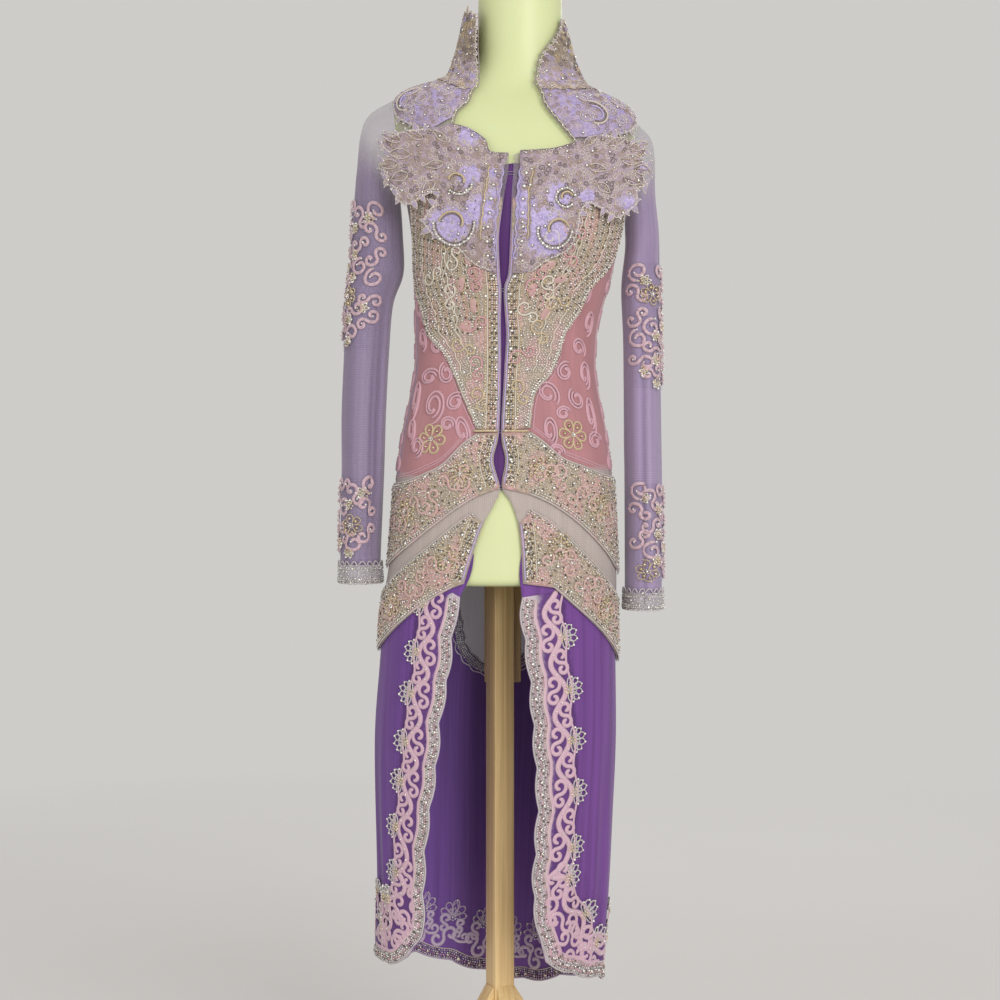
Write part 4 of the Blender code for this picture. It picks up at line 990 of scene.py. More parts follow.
# Nickel-plated steel wire for the hooks, drawn and softly worn.
nickel, tree = new_material("nickel_wire", Metallic=1.0)
places = add_node(tree, "TexCoord", out="Object")
wear = noise(tree, places, 900.0)
shade(tree, Base_Color=blend(tree, wear, colour("#a9a7a2"), colour("#cfcdc8")),
      Roughness=ramp(tree, wear, 0.3, 0.7, 0.22, 0.4))
for number in range(1, 5):
    slots = frame["nodes"][f"hook_{number}"].data.materials
    slots.clear()
    slots.append(nickel)
print("hooks finished in nickel")

# %% The form: rings inside the garment's surface
FORM_BOTTOM, NECK_TOP, FORM_CLEARANCE = 0.749, 1.53, 0.0055
FORM_TURNS = 128
EDGE_ROUND, DOME_FROM, DOME_INSET = 0.01, 1.512, 0.018
POST_SIDE, POST_TURN, POST_TOP, SOCKET_GAP = 0.028, 27.0, 0.8, 0.0003
rows = [(0.765, FORM_BOTTOM + EDGE_ROUND * (1 - math.cos(a)), EDGE_ROUND * (1 - math.sin(a)))
        for a in np.radians(np.linspace(0, 90, 7))]
rows += [(z, z, 0.0) for z in np.linspace(0.768, DOME_FROM, 130)]
rows += [(DOME_FROM, DOME_FROM + (NECK_TOP - DOME_FROM) * math.sin(a), DOME_INSET * (1 - math.cos(a)))
         for a in np.radians(np.linspace(12, 90, 8))]
turns = np.arange(FORM_TURNS) * 360 / FORM_TURNS
rings = []
for read_at, placed, inset in rows:
    ring = body.at(pairs(turns, read_at), -(FORM_CLEARANCE + inset))
    ring[:, 2] = placed if placed != read_at else ring[:, 2]
    rings.append(ring)
points = np.vstack(rings + [rings[0].mean(0)[None], rings[-1].mean(0)[None]])
k = np.arange(FORM_TURNS)
after = (k + 1) % FORM_TURNS
quads = np.vstack([np.stack([r + k, r + after, r + FORM_TURNS + after, r + FORM_TURNS + k], -1)
                   for r in np.arange(len(rings) - 1) * FORM_TURNS])
low, high, top = len(points) - 2, len(points) - 1, (len(rings) - 1) * FORM_TURNS
caps = np.vstack([np.stack([after, k, np.full(FORM_TURNS, low)], -1),
                  np.stack([top + k, top + after, np.full(FORM_TURNS, high)], -1)])
mesh, _ = mesh_from("dress_form_skin", points, [quads, caps])
form = show("dress_form_skin", mesh, form_plastic)
socket_size = POST_SIDE + 2 * SOCKET_GAP
bpy.ops.mesh.primitive_cube_add(size=1, location=(0, 0, POST_TOP - 0.05), rotation=(0, 0, math.radians(POST_TURN)),
                                scale=(socket_size, socket_size, 0.1))
socket = bpy.context.object
apply(form, "BOOLEAN", object=socket, operation="DIFFERENCE", solver="EXACT")
bpy.data.objects.remove(socket)
select_only(form)
bpy.ops.object.shade_smooth_by_angle(angle=math.radians(40))
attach(form, "root")
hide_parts("dress_form")
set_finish(form, "form_plastic")
print("form:", len(form.data.polygons), "faces, from", round(min(v.co.z for v in form.data.vertices), 4))

# %% The stand's boards, with eased edges and grain along them
EASE = 0.0016
LEGS = {"leg_right": 0, "leg_front": 1, "leg_left": 2, "leg_back": 3}
for name in ["stand_post", "stand_rail", *LEGS]:
    data = frame["nodes"][name].data.copy()
    board = new_object(name + "_board", data)
    select_only(board)
    bpy.ops.object.mode_set(mode="EDIT")
    bpy.ops.mesh.select_all(action="SELECT")
    bpy.ops.mesh.remove_doubles(threshold=1e-5)
    bpy.ops.mesh.tris_convert_to_quads(face_threshold=0.02, shape_threshold=3.1)
    bpy.ops.object.mode_set(mode="OBJECT")
    if data.has_custom_normals:
        bpy.ops.mesh.customdata_custom_splitnormals_clear()
    apply(board, "BEVEL", width=EASE, segments=3, limit_method="ANGLE", angle_limit=math.radians(35))
    board.select_set(True)
    bpy.ops.object.shade_smooth_by_angle(angle=math.radians(35))
    data = board.data
    places = np.zeros(len(data.vertices) * 3, np.float32)
    data.vertices.foreach_get("co", places)
    places = places.reshape(-1, 3)
    if name in LEGS:
        turn = math.radians(POST_TURN + 180 + 90 * LEGS[name])
        run = places[:, 0] * math.cos(turn) + places[:, 1] * math.sin(turn)
        aside = places[:, 1] * math.cos(turn) - places[:, 0] * math.sin(turn) + 0.1 * LEGS[name]
        places = np.column_stack([aside, (run + places[:, 2]) * 0.7, (run - places[:, 2]) * 0.7])
    data.attributes.new("grain", "FLOAT_VECTOR", "POINT").data.foreach_set("vector", places.astype(np.float32).ravel())
    data.materials.clear()
    data.materials.append(pine)
    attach(board, "root")
    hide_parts(name)
    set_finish(board, "stand_wood")
    print(board.name, len(data.polygons), "faces")

# %% [markdown]
# ## The cloth pieces
#
# The bodice has two fronts and a whole back of tulle, lined where it is pink. The skirt hangs from under its hem in
# three parts. Then come the lace pieces, each a wall of closely stitched net: panels on the bodice, bands on the
# hips, borders on the skirt, and the stiff lace of the chest, shoulders and collar.

# %% Colours of the cloth from place to place
# Each kind of cloth: its material, its slot and how it is held
LINED, VIOLET = (lined_tulle, "lined_tulle", "hung"), (violet_tulle, "violet_tulle", "hung")
SHEER, SHEER_LACE = (sheer_tulle, "sheer_tulle", "hung"), (sheer_tulle, "beaded_lace", "hung")
VIOLET_LACE, CUFF_NET = (violet_tulle, "beaded_lace", "hung"), (beaded_net, "beaded_lace", "hung")
NET, LACE = (beaded_net, "beaded_lace", "stretched"), (lilac_lace, "lilac_lace", "stretched")
# A wall of cloth is two surfaces, so one that hides three quarters of what lies behind has a cover of a half
PINK, SHEER_LILAC, SHEER_GREY = colour("#aa787c", 1.1), colour("#b6aab0", 0.24), colour("#c2b5b0", 0.66)
TAIL_GREY, SLEEVE_HEAD = colour("#a8a0b0", 0.66), colour("#b8aebb", 0.2)
# The same lilac tulle on both sleeves: the wearer's left is painted lighter and the right darker, as painted light and
# shade from one side
SLEEVE_LILAC_SHADED_BY_SIDE = {-1: colour("#9b89a9", 0.5), 1: colour("#ac98bb", 0.52)}
# The back skirt is the fronts' violet tulle, a little bluer, and painted lighter than them as painted light for its
# shaded inside seen through the opening
SKIRT_RIGHT, SKIRT_LEFT, SKIRT_BACK_LIGHTENED = colour("#6a428a", 0.97), colour("#6e4388", 0.97), colour("#77529c", 0.95)
SIDE_GREY, SIDE_FROM = colour("#a893a6", 0.8), 71  # a sheer strip runs down the right side seam of the bodice
EDGE_LILAC = colour("#a894bd", 1.1)
HIP_TOP = chart("""
-89.93 880, -60 884, -44 893, -32 905, -21 930, -13.5 942 |
13 944, 20 932, 31 912, 45 902, 62 893, 89.93 888""")
SHEER_FROM, SHEER_FULL = 1.195, 1.235


def mix(first, second, share):
    """From one colour, at a share of 0, to another at 1."""
    return first * (1 - share[:, None]) + second * share[:, None]


def front_tint(side):
    """Sheer lilac at the shoulder, pink lining down to the hip's band, sheer grey below, and a lilac front edge."""
    edge_line = front_line(FRONT_EDGE, side, 0.75, 1.29)

    def tint(degrees, z):
        early = 0.016 * ease((np.abs(degrees) - 35) / 35) - 0.006
        flush = 0.05 * np.sin(degrees * 0.21 + z * 40)[:, None] * (1, 1, 1, 0)
        base = mix(PINK * (1 + flush), SIDE_GREY, ease((np.abs(degrees) - SIDE_FROM) / 4) * (side < 0))
        base = mix(base, EDGE_LILAC, ease(1.6 - np.abs(degrees - np.interp(z, *edge_line.T[::-1]))))
        base = mix(base, SHEER_GREY, ease((table_at(HIP_TOP[side], degrees)[0] + early - z) / 0.006))
        return mix(base, SHEER_LILAC, ease((z - SHEER_FROM) / (SHEER_FULL - SHEER_FROM)))
    return tint


def back_tint(degrees, z):
    shoulder = ease((z - 1.245) / 0.04)[:, None]
    tail = ease((0.885 - z) / 0.012)[:, None]
    return PINK * (1 - shoulder) * (1 - tail) + SHEER_LILAC * shoulder + TAIL_GREY * tail


def one_tint(value):
    return lambda degrees, z: np.tile(value, (len(degrees), 1))


def skirt_tint_fold_shade(value):
    """A skirt's colour, with painted shade in the troughs of its folds and painted light on their crests."""
    def tint(degrees, z):
        return value * (1 + np.clip(folds_out(SKIRT_FOLDS, degrees, z) * 22, -0.14, 0.14)[:, None] * (1, 1, 1, 0))
    return tint


print("front tint at the waist:", front_tint(1)(np.array([50.0]), np.array([1.0]))[0].round(3))

# %% The bodice's fronts and back, and the panel behind the opening
UNDERLAY_AT, SKIRT_AT, BODICE_AT, TRIM_AT, SKIRT_TRIM_AT = -0.0046, -0.0032, -0.0013, 0.0008, -0.0013
BODICE_HEM = chart("-22 748, -37 727, -54 700, -72 676, -89.93 661 | 24 748, 38 722, 55 694, 72 668, 89.93 647")
PEPLUM_BACK_HEM = chart("""
90.07 647, 112 664, 135 706, 150 726, 157 700, 161 655, 170 628, 180 620, 190 628, 199 655, 203 700, 210 728,
226 710, 248 676, 269.93 661""")
UNDERLAY = chart("12 870, 12 1270, 0 1276, -12 1270, -12 870")


def front_outline(side):
    armhole = armhole_line(side, np.linspace(90, -90, 40))
    armhole[:, 0] = side * np.minimum(np.abs(armhole[:, 0]), SIDE_SEAM)
    return np.vstack([front_line(FRONT_EDGE, side, 0.75, 1.29)]
                     + [smooth(line[side])[1:] for line in (NECKLINE, NECK_SIDE, NECK_RISE)]
                     + [armhole, smooth(BODICE_HEM[side])[::-1]])


def back_outline():
    neck_line = smooth(BACK_NECK, 0.006)
    neck_line = np.vstack([neck_line, (neck_line[::-1] * (-1, 1) + (360, 0))[1:]])
    left, right = armhole_line(1, np.linspace(270, 90, 40)), armhole_line(-1, np.linspace(90, 270, 40)) + (360, 0)
    left[:, 0] = np.maximum(left[:, 0], 180 - SIDE_SEAM)
    right[:, 0] = np.minimum(right[:, 0], 180 + SIDE_SEAM)
    return np.vstack([left, neck_line, right, smooth(PEPLUM_BACK_HEM)[::-1]])


for side, word in SIDES:
    sew_cloth(f"front_{word}", body, front_outline(side), BODICE_AT, LINED, front_tint(side))
sew_cloth("back", body, back_outline(), BODICE_AT, LINED, back_tint, cell=0.0065)
sew_cloth("underlay", body, UNDERLAY, UNDERLAY_AT, VIOLET, one_tint(colour("#56306c", 1.1)))

# %% The skirt: two fronts and a back, sewn in under the bodice's hem
TUCK, BACK_TUCK, SCALLOP, SCALLOP_DEPTH = 0.045, 0.01, 0.055, 0.004
SKIRT_HEM = chart("-43 285, -55 276, -72 270, -89.93 268 | 27 284, 48 262, 60 256, 75 247, 89.93 241")
BACK_HEM = chart("90.07 243, 130 222, 165 208, 190 226, 225 250, 269.93 266")


def skirt_edges(side):
    """A skirt front's scalloped front edge, from low to high, and its hem, from the side to the front."""
    edge = scallops(body, front_line(SKIRT_EDGE, side, 0.3, 0.8), SCALLOP, side * SCALLOP_DEPTH)
    hem = scallops(body, smooth(SKIRT_HEM[side], 0.004)[::-1], SCALLOP, side * SCALLOP_DEPTH)
    return edge, hem


def skirt_outline(side):
    edge, hem = skirt_edges(side)
    top = smooth(BODICE_HEM[side], 0.006) + (0, TUCK)
    return np.vstack([edge[edge[:, 1] < top[0, 1]], top, hem])


def within_back(line):
    return pairs(np.clip(line[:, 0], 180 - SIDE_SEAM, 180 + SIDE_SEAM), line[:, 1])


def back_hem():
    return scallops(body, smooth(BACK_HEM, 0.004), SCALLOP, -SCALLOP_DEPTH)


for (side, word), value in zip(SIDES, (SKIRT_RIGHT, SKIRT_LEFT)):
    sew_cloth(f"skirt_{word}", body, skirt_outline(side), SKIRT_AT, VIOLET, skirt_tint_fold_shade(value), f"front_{word}")
tail_seam = within_back(beside(body, smooth(PEPLUM_BACK_HEM, 0.006), BACK_TUCK))
sew_cloth("skirt_back", body, np.vstack([tail_seam, back_hem()[::-1]]), SKIRT_AT, VIOLET, skirt_tint_fold_shade(SKIRT_BACK_LIGHTENED),
          "back", cell=0.0065)

# %% Sleeves, cuffs and the lace on the sleeves: tubes and patches in rows
CUFF_END, CUFF_HEIGHT, SLEEVE_LACE_OUT = {-1: 0.75, 1: 0.716}, 0.028, 0.0021
# The lace's reach on a sleeve: lowest and highest height, and degrees round on the outer side from the front
SLEEVE_LACE = {("upper", -1): (1.05, 1.24), ("upper", 1): (1.000, 1.162), ("lower", -1): (0.785, 0.89),
               ("lower", 1): (0.752, 0.88)}
LACE_FROM, LACE_TO, SLEEVE_TOP = -30, 120, 0.0115


def sleeve_tint_fold_shade(side):
    """Sheerer at the head, and denser in the troughs of the folds, where the cloth turns edge on. The colour there is
    painted shade, and on the crests painted light.
    """
    def tint(degrees, z):
        swing = np.clip(sleeve_swing(side, degrees, z) / 0.003, -1, 1)[:, None]
        value = mix(SLEEVE_LILAC_SHADED_BY_SIDE[side], SLEEVE_HEAD, ease((z - (SLEEVE[side][0][2] - 0.05)) / 0.05))
        # painted shade in the troughs and painted light on the crests, while the cover rises in the troughs
        return value * (1 + swing * (0.2, 0.22, 0.17, -0.16))
    return tint


for side, word in SIDES:
    head, end, turns = SLEEVE[side][0][2], CUFF_END[side], np.arange(0, 360, 5.0)
    heights = np.concatenate([np.arange(end, head, 0.006), np.linspace(head, head + SLEEVE_TOP, 14)])
    tube_cloth(f"sleeve_{word}", sleeves[side], turns, heights, 0.0, SHEER, sleeve_tint_fold_shade(side), f"front_{word}")
    for place in ("upper", "lower"):
        columns = np.sort(side * np.linspace(LACE_FROM, LACE_TO, 31))
        tube_cloth(f"sleeve_lace_{place}_{word}", sleeves[side], columns, np.arange(*SLEEVE_LACE[place, side], 0.005),
                   SLEEVE_LACE_OUT, SHEER_LACE, one_tint(colour("#9a8cae", 0.05)), f"sleeve_{word}", closed=False)
    tube_cloth(f"cuff_{word}", sleeves[side], turns, np.linspace(end, end + CUFF_HEIGHT, 6), SLEEVE_LACE_OUT, CUFF_NET,
               one_tint(colour("#a8a2a8")), f"sleeve_{word}")

# %% Lace on the bodice: beaded panels, and two bands on each hip
BEADED_SIDE = chart("""
-68 1243, -74 1195, -80 1150, -74 1120, -65 1100, -56 1068, -40 1042, -31 1014, -26 995, -17.5 962, -13.5 945 |
76 1243, 78 1195, 70 1157, 52 1125, 47 1095, 38 1068, 34 1042, 27 1014, 18 995, 14.5 973, 13 947""")
BAND_TOP = chart("""
-15 842, -26 822, -40 797, -58 771, -76 749, -89.93 740 |
12 846, 24 828, 38 800, 55 769, 74 742, 89.93 728""")
SHEER_TOP = chart("""
-13 860, -24 843, -38 820, -55 796, -76 775, -89.93 768 |
11 864, 22 852, 37 830, 55 800, 74 772, 89.93 760""")
PEPLUM_TOP = {side: tuple(reversed(rows)) if side < 0 else rows for side, rows in HIP_TOP.items()}
EDGE_STEP = 0.4  # degrees that lace stays back from a front edge
NET_BROWN, NET_PINK = colour("#a89886"), colour("#be9894")


def lace_edge(side, low, high):
    return front_line(FRONT_EDGE, side, low, high) + (side * EDGE_STEP, 0)


def net_tint(pink_scale):
    """A net's own colour, with soft pink patches where the lining shows through."""
    def tint(degrees, z):
        wave = np.sin(degrees * 0.19 + 1.3) * np.sin(z * 88 + degrees * 0.07) + 0.5 * np.sin(degrees * 0.45 - z * 41)
        return mix(NET_BROWN, NET_PINK, ease((wave + 0.15) / 0.7) * pink_scale)
    return tint


for side, word in SIDES:
    panel = np.vstack([lace_edge(side, 0.943, 1.23), smooth(BEADED_SIDE[side])])
    upper = np.vstack([lace_edge(side, 0.873, 0.943), smooth(PEPLUM_TOP[side])]) - (0, 0.002)
    upper = np.vstack([upper, smooth(SHEER_TOP[side])[::-1]])
    lower = np.vstack([lace_edge(side, 0.753, 0.829), smooth(BAND_TOP[side])[1:], smooth(BODICE_HEM[side])[::-1]])
    for name, outline, pink in (("beaded_panel", panel, 0.9), ("band_upper", upper, 1.0), ("band_lower", lower, 1.0)):
        sew_cloth(f"{name}_{word}", body, outline, TRIM_AT, NET, net_tint(pink), f"front_{word}")

# %% Lace on the skirt, and the trim of the back's tail
BORDER_HEIGHTS, BORDER_DEGREES, BORDER_GAP = (0.42, 0.7), 23, 0.006
HEM_LACE_TOP = chart("-68 378, -78 366, -89.93 362 | 56 362, 70 350, 89.93 342")
BACK_LACE_HEIGHT, TAIL_TRIM_WIDTH = 0.07, 0.013
BORDER_NET, HEM_NET, RIM_NET = colour("#66407e", 0.8), colour("#654585", 0.9), colour("#b8aab2", 1.1)
RIM_WIDE = {-1: 0.015, 1: 0.0185}  # the beaded rim of each front border


def border_outline(side):
    edge, hem = skirt_edges(side)
    inner = front_line(SKIRT_EDGE, side, *BORDER_HEIGHTS) + (side * BORDER_DEGREES, 0)
    top = smooth(BODICE_HEM[side]) - (0, BORDER_GAP)
    top = top[np.abs(top[:, 0]) < abs(inner[-1, 0])]
    return np.vstack([edge[edge[:, 1] < top[0, 1] - 0.004], top, inner[::-1], HEM_LACE_TOP[side], hem])


def border_tint(rim, wide):
    """Violet net that thins out inwards, and under the rim's beads a pale one."""
    rim = body.flat(rim)

    def tint(degrees, z):
        flat = body.flat(pairs(degrees, z))
        away = np.array([np.linalg.norm(rim - place, axis=1).min() for place in flat])
        thin = 1 - ease((away - 0.04) / 0.014)[:, None] * (0, 0, 0, 0.97)
        return mix(BORDER_NET, RIM_NET, ease((wide + 0.002 - away) / 0.004)) * thin
    return tint


for side, word in SIDES:
    rim = np.vstack(skirt_edges(side)[::-1])
    sew_cloth(f"border_{word}", body, border_outline(side), SKIRT_TRIM_AT, VIOLET_LACE,
              border_tint(rim, RIM_WIDE[side]), f"skirt_{word}", cell=0.0045)
lace_top = smooth(BACK_HEM) + (0, BACK_LACE_HEIGHT)
sew_cloth("hem_lace_back", body, np.vstack([back_hem(), lace_top[::-1]]), SKIRT_TRIM_AT, VIOLET_LACE,
          one_tint(HEM_NET), "skirt_back")
tail_hem = smooth(PEPLUM_BACK_HEM)
tail_trim = np.vstack([tail_hem, within_back(beside(body, tail_hem, TAIL_TRIM_WIDTH))[::-1]])
sew_cloth("back_hem_trim", body, tail_trim, TRIM_AT, NET, one_tint(colour("#a29aa8")), "back", strip=TAIL_TRIM_WIDTH)

# %% Lace of the chest, the shoulders and the collar
CHEST_WING = chart("""
-36 1314, -48 1308, -64 1290, -58 1281, -69 1266, -62 1259, -67 1247, -58 1241, -60 1229, -52.5 1222, -45 1231,
-38 1240, -40 1226, -46 1206, -44.5 1192, -38 1178, -28 1168, -24 1158, -17 1147, -10 1140 |
36 1314, 48 1308, 60 1292, 57 1283, 66 1268, 60 1261, 66 1250, 59 1243, 60 1226, 55 1214, 49 1206, 42 1216, 35 1224,
31 1212, 30.5 1195, 28 1172, 22 1161, 15 1153, 9 1141""")
CHEST_LOW = 1.138
NECK_LACE_REACH = chart("46 1379, 62 1384, 78 1386, 83 1378, 79 1362, 74 1345, 66 1328, 50 1317, 38 1312")
LILAC, MAUVE, DEEP_LILAC = colour("#b0a1c9"), colour("#a08d98"), colour("#9080b0")
# Where lilac satin stitch shows plain: metres out from the middle, height and radius
LILAC_SPOTS = chart("""
37.5 1311 16, 135 1303 12, 37.5 1257 15, 60 1197 24, 25 1213 20, 131 1276 8, 10 1235 8, 10 1260 8 |
72.5 1232 18, 56 1188 30, 25 1220 20, 140 1226 10, 162.5 1270 12, 18 1250 10, 105 1233 10""", (MM,))


def spotted_tint(side):
    """Mauve net with patches of lilac satin stitch."""
    def tint(degrees, z):
        places = body_base(degrees, z)[:, ::2] * (side, 1)
        share = np.max([ease((radius + 0.003 - np.linalg.norm(places - (out, height), axis=1)) / 0.007)
                        for out, height, radius in LILAC_SPOTS[side]], axis=0)
        return mix(MAUVE, LILAC, share)
    return tint


def lilac_tint(mauve_from, wander, most, ground):
    """Lilac satin stitch in patches all over, between areas of mauve net."""
    def tint(degrees, z):
        wave = np.sin(degrees * 0.31 * wander + 0.7) * np.sin(z * 120 * wander + degrees * 0.11)
        wave = wave + 0.4 * np.sin(degrees * 0.83 + z * 63)
        return mix(ground, LILAC, ease((wave - mauve_from) / 0.5) * most)
    return tint


shoulder_tint = lilac_tint(0.0, 1.0, 0.6, MAUVE * 0.7 + LILAC * 0.3)
high_collar_tint = lilac_tint(0.75, 0.8, 0.7, colour("#877868"))


def collar_tint(degrees, v):
    """The shoulders' mauve at its foot, and brown above."""
    return mix(shoulder_tint(degrees, v), high_collar_tint(degrees, v), ease((v - 0.004) / 0.04))


for side, word in SIDES:
    wing = smooth(CHEST_WING[side])
    edge = front_line(FRONT_EDGE, side, CHEST_LOW, 1.27) + (side * 1.5, 0)
    sew_cloth(f"chest_lace_{word}", chest, np.vstack([edge, smooth(NECKLINE[side]), wing]), 0.0, LACE,
              spotted_tint(side), f"front_{word}", cell=0.0045)
    inner = smooth(NECK_SIDE[side]) + (side * 1.0, 0)
    outer = smooth(NECK_LACE_REACH) * (side, 1)
    sew_cloth(f"neck_lace_{word}", body, np.vstack([inner[2:], outer]), TRIM_AT, LACE, shoulder_tint, f"front_{word}")


def collar_edge(side, count=22):
    shares = np.linspace(COLLAR_LOW / COLLAR_TALL, 1, count)
    turns = table_at(COLLAR_FRONT[side], shares)[0] - (360 if side > 0 else 0)
    return pairs(turns, shares * COLLAR_TALL)


first, last = collar_edge(-1), collar_edge(1)
seam = pairs(np.linspace(first[0, 0], last[0, 0], 130), COLLAR_LOW)
rim = pairs(np.linspace(last[-1, 0], first[-1, 0], 110), COLLAR_TALL)
sew_cloth("collar", neck, np.vstack([seam, last[1:-1], rim, first[1:-1][::-1]]), 0.0, LACE, collar_tint,
          "front_right front_left back")

# %% [markdown]
# ## Embroidery on the skirt
#
# A heavy border runs down each front edge and widens into the hem: a silver beaded rim with scallops, a thick pink
# stem that winds beside it, a pair of curls in each of its bends, and a fan of beaded loops where it swings furthest
# out. We measure how far along the border we are, and everything in it follows from that distance.

# %% Thread and bead colours
PINK_CORD, ROSE_CORD, MAUVE_CORD = colour("#cda9b8"), colour("#cf9a9c"), colour("#a08c90")
LILAC_CORD, SILVER_CORD, GOLD_CORD = colour("#bcaedd"), colour("#cbc4c2"), colour("#c9b28c")
CREAM_CORD, SILVER_BEAD, GOLD_BEAD = colour("#dad0c0"), colour("#dedad4"), colour("#e0cfaa")
PEARL, PINK_BEAD, DARK_BEAD = colour("#f4efe8"), colour("#dcb6b4"), colour("#5f584a")
QUARTER = math.pi / 2


def at_front(side, out, height):
    """A place given by metres out from the middle and height."""
    return float(degrees_at(side * out, height)), height


def lay_flowers(trim, places, petals, reach, angles, width, lift=0.0):
    """Gold flowers of looped petals with a bead in each, a bead at each tip and a raised centre."""
    lines = trim.lay(flower(petals, reach, reach * 0.62), places, angles, width, GOLD_CORD, lift=lift)
    trim.bead(tips_of(lines), 0.0013, GOLD_BEAD, lift=lift)
    inner = trim.tips(flower(petals, reach * 0.62, reach * 0.3), places, angles)
    trim.bead(inner, 0.0017, GOLD_BEAD, lift=lift)
    trim.bead(inner, 0.0026, GOLD_BEAD, lift=lift, film=True)
    trim.bead(trim.tips(flower(6, 0.0024, 0.001), places, angles), 0.0012, PEARL, lift=lift + 0.0006)
    trim.bead(places, 0.0019, PEARL, tall=1.0, lift=lift + 0.0008)


def lay_fans(trim, places, angles, length, loops=6, tint=SILVER_CORD, core=GOLD_BEAD):
    """Fans of loops with bead tips, on a cluster of small beads."""
    lines = trim.lay(fan(loops, length, length * 0.36, 68), places, angles, 0.002, tint)
    trim.bead(tips_of(lines), 0.0019, PEARL)
    trim.bead(trim.tips(fan(loops, length * 0.55, length * 0.2, 70), places, angles), 0.0015, SILVER_BEAD, lift=0.0003)
    cluster = trim.tips(flower(7, 0.0042, 0.001), places, angles)
    trim.bead(np.vstack([cluster, places]), 0.0017, core, lift=0.0004)


RIM_ROW, GOLDEN = 0.003, 0.618


def lay_rim(trim, rim, inward, wide, tint=SILVER_CORD):
    """A border's beaded edge: cords on both sides of rows of silver beads, with dark ones set evenly among them."""
    trim.trace(rim, inward * 0.0012, 0.0018, tint)
    for k, inset in enumerate(np.arange(0.0036, wide - 0.0012, RIM_ROW)):
        line = beside(trim.ground, rim, inward * inset)
        trim.row(line, 0.0033, 0.0015, (SILVER_BEAD, PINK_BEAD, PEARL)[k % 3], k * GOLDEN % 1, vary=0.3)
        trim.row(line, 0.015, 0.0014, DARK_BEAD, k * GOLDEN % 1, lift=0.0007)
    trim.row(rim, 0.015, 0.0028, PEARL, 0.5, inward * wide * 0.45, lift=0.0009, film=True)
    trim.trace(rim, inward * wide, 0.0018, CREAM_CORD)


def lay_chain(trim, line, inward, pitch, reach, width=0.0042, tint=PINK_CORD):
    """Flat cords in a chain: an S scroll and a C scroll in turn."""
    places, angles = even(trim.ground, line, pitch, 0.5)
    flip = math.pi if inward < 0 else 0.0
    for first, lean, side in ((0, 0.95, 1), (1, math.pi - 0.95, -1)):
        trim.lay([s_scroll(reach, 1.05)], places[first::2], angles[first::2] + flip + lean, width, tint, 0.0013,
                 "flat", side=side)
    places, angles = even(trim.ground, line, pitch, 0.0)
    trim.lay([c_scroll(reach * 0.66, reach * 0.5, 1.0)], places[1:], angles[1:] + flip, width * 0.8, tint, 0.0012,
             "flat")
    trim.bead(places, 0.0018, SILVER_BEAD)


print("a fan has", len(fan(6, 0.017, 0.006, 68)), "loops")

# %% The stem, its curls and its fans
STEM_AT, STEM_SWING, STEM_WIDE, CURL_WIDE = 0.0375, 0.0095, 0.0078, 0.0057
# In each bend: share of the period, distance from the rim, and how large the two curls are
CURLS = chart("0 29 10 8.4, .5 44.5 9.2 7.6")
# More curls in the lower corners: metres out from the middle, height, reach, degrees of turn
CORNER_CURLS = chart("""
108 356 9.5 20, 114 332 9.5 80, 123 316 9 150, 124 306 9.5 120, 130 336 9 60 |
64 345 10.5 10, 78 330 11 70, 76 304 10.5 150, 96 312 10 30, 96 286 9.5 100, 112 296 9.5 60""", (MM, MM, MM, 1))


def lay_border(trim, rim, path, inward, wide, size, period, through):
    """A whole border. One of its fans stands at the height called through."""
    ground, flip = trim.ground, math.pi if inward < 0 else 0.0
    lay_rim(trim, rim, inward, wide)
    trim.cord(beside(ground, rim, inward * (wide + 0.0016))[::2], 0.0048, PINK_CORD, 0.0012, "flat")
    run = run_of(ground, path)
    start = run[np.argmin(np.abs(path[:, 1] - through))] % period
    bend = np.cos(2 * np.pi * (run - start) / period)
    stem = beside(ground, path, inward * (STEM_AT + STEM_SWING * bend) * size)
    trim.cord(stem, STEM_WIDE * size, PINK_CORD, 0.0015, "flat")
    trim.row(stem, 0.0135, 0.0014, PEARL, lift=0.0013)
    trim.trace(path, inward * (0.054 + 0.003 * bend) * size, 0.0034, PINK_CORD, 0.0012, "flat")
    for share, inset, big, small in CURLS:
        at = np.arange(start + (share - 1) * period, run[-1] - 0.014, period)
        places, angles = spots(ground, path, run, at[at > 0.01])
        places = step_aside(ground, places, angles, inward * inset * size)
        trim.lay([curl_pair(big, small) * size], places, angles - QUARTER, CURL_WIDE * size, PINK_CORD, 0.0014, "flat",
                 side=inward if share else -inward)
    places, angles = spots(ground, path, run, np.arange(start, run[-1] - 0.01, period))
    places = step_aside(ground, places, angles, inward * (STEM_AT + STEM_SWING + 0.003) * size)
    lay_fans(trim, places, angles + flip, 0.0225 * size)


for side, word in SIDES:
    trim = Trimming(f"border_{word}", 11 + side)
    edge, hem = skirt_edges(side)
    rows = [(float(degrees_at(xs[side > 0], z)), z) for z, *xs in sorted(SKIRT_EDGE) if 0.32 < z < 0.74]
    rows.append((float(np.interp(0.74, edge[:, 1], edge[:, 0])), 0.74))
    path = smooth(list(SKIRT_HEM[side])[:0:-1] + rows, 0.004)
    rim = np.vstack([hem[:-2], edge[edge[:, 1] < 0.738]])
    lay_border(trim, rim, path, -side, RIM_WIDE[side], *((0.94, 0.0565) if side < 0 else (1.0, 0.064)), 0.552)
    for out, height, reach, turn in CORNER_CURLS[side]:
        trim.lay([curl_pair(reach, reach * 0.85)], [at_front(side, out, height)], math.radians(turn), CURL_WIDE,
                 PINK_CORD, 0.0013, "flat")
    wide_hem = path[np.abs(path[:, 0]) > 62]
    lay_chain(trim, beside(body, wide_hem, -side * 0.07), -side, 0.038, 0.007)
    places, angles = even(body, beside(body, wide_hem, -side * 0.084), 0.036, 0.5)
    lay_fans(trim, places, angles + (math.pi if side > 0 else 0.0), 0.016)
    trim.sew()

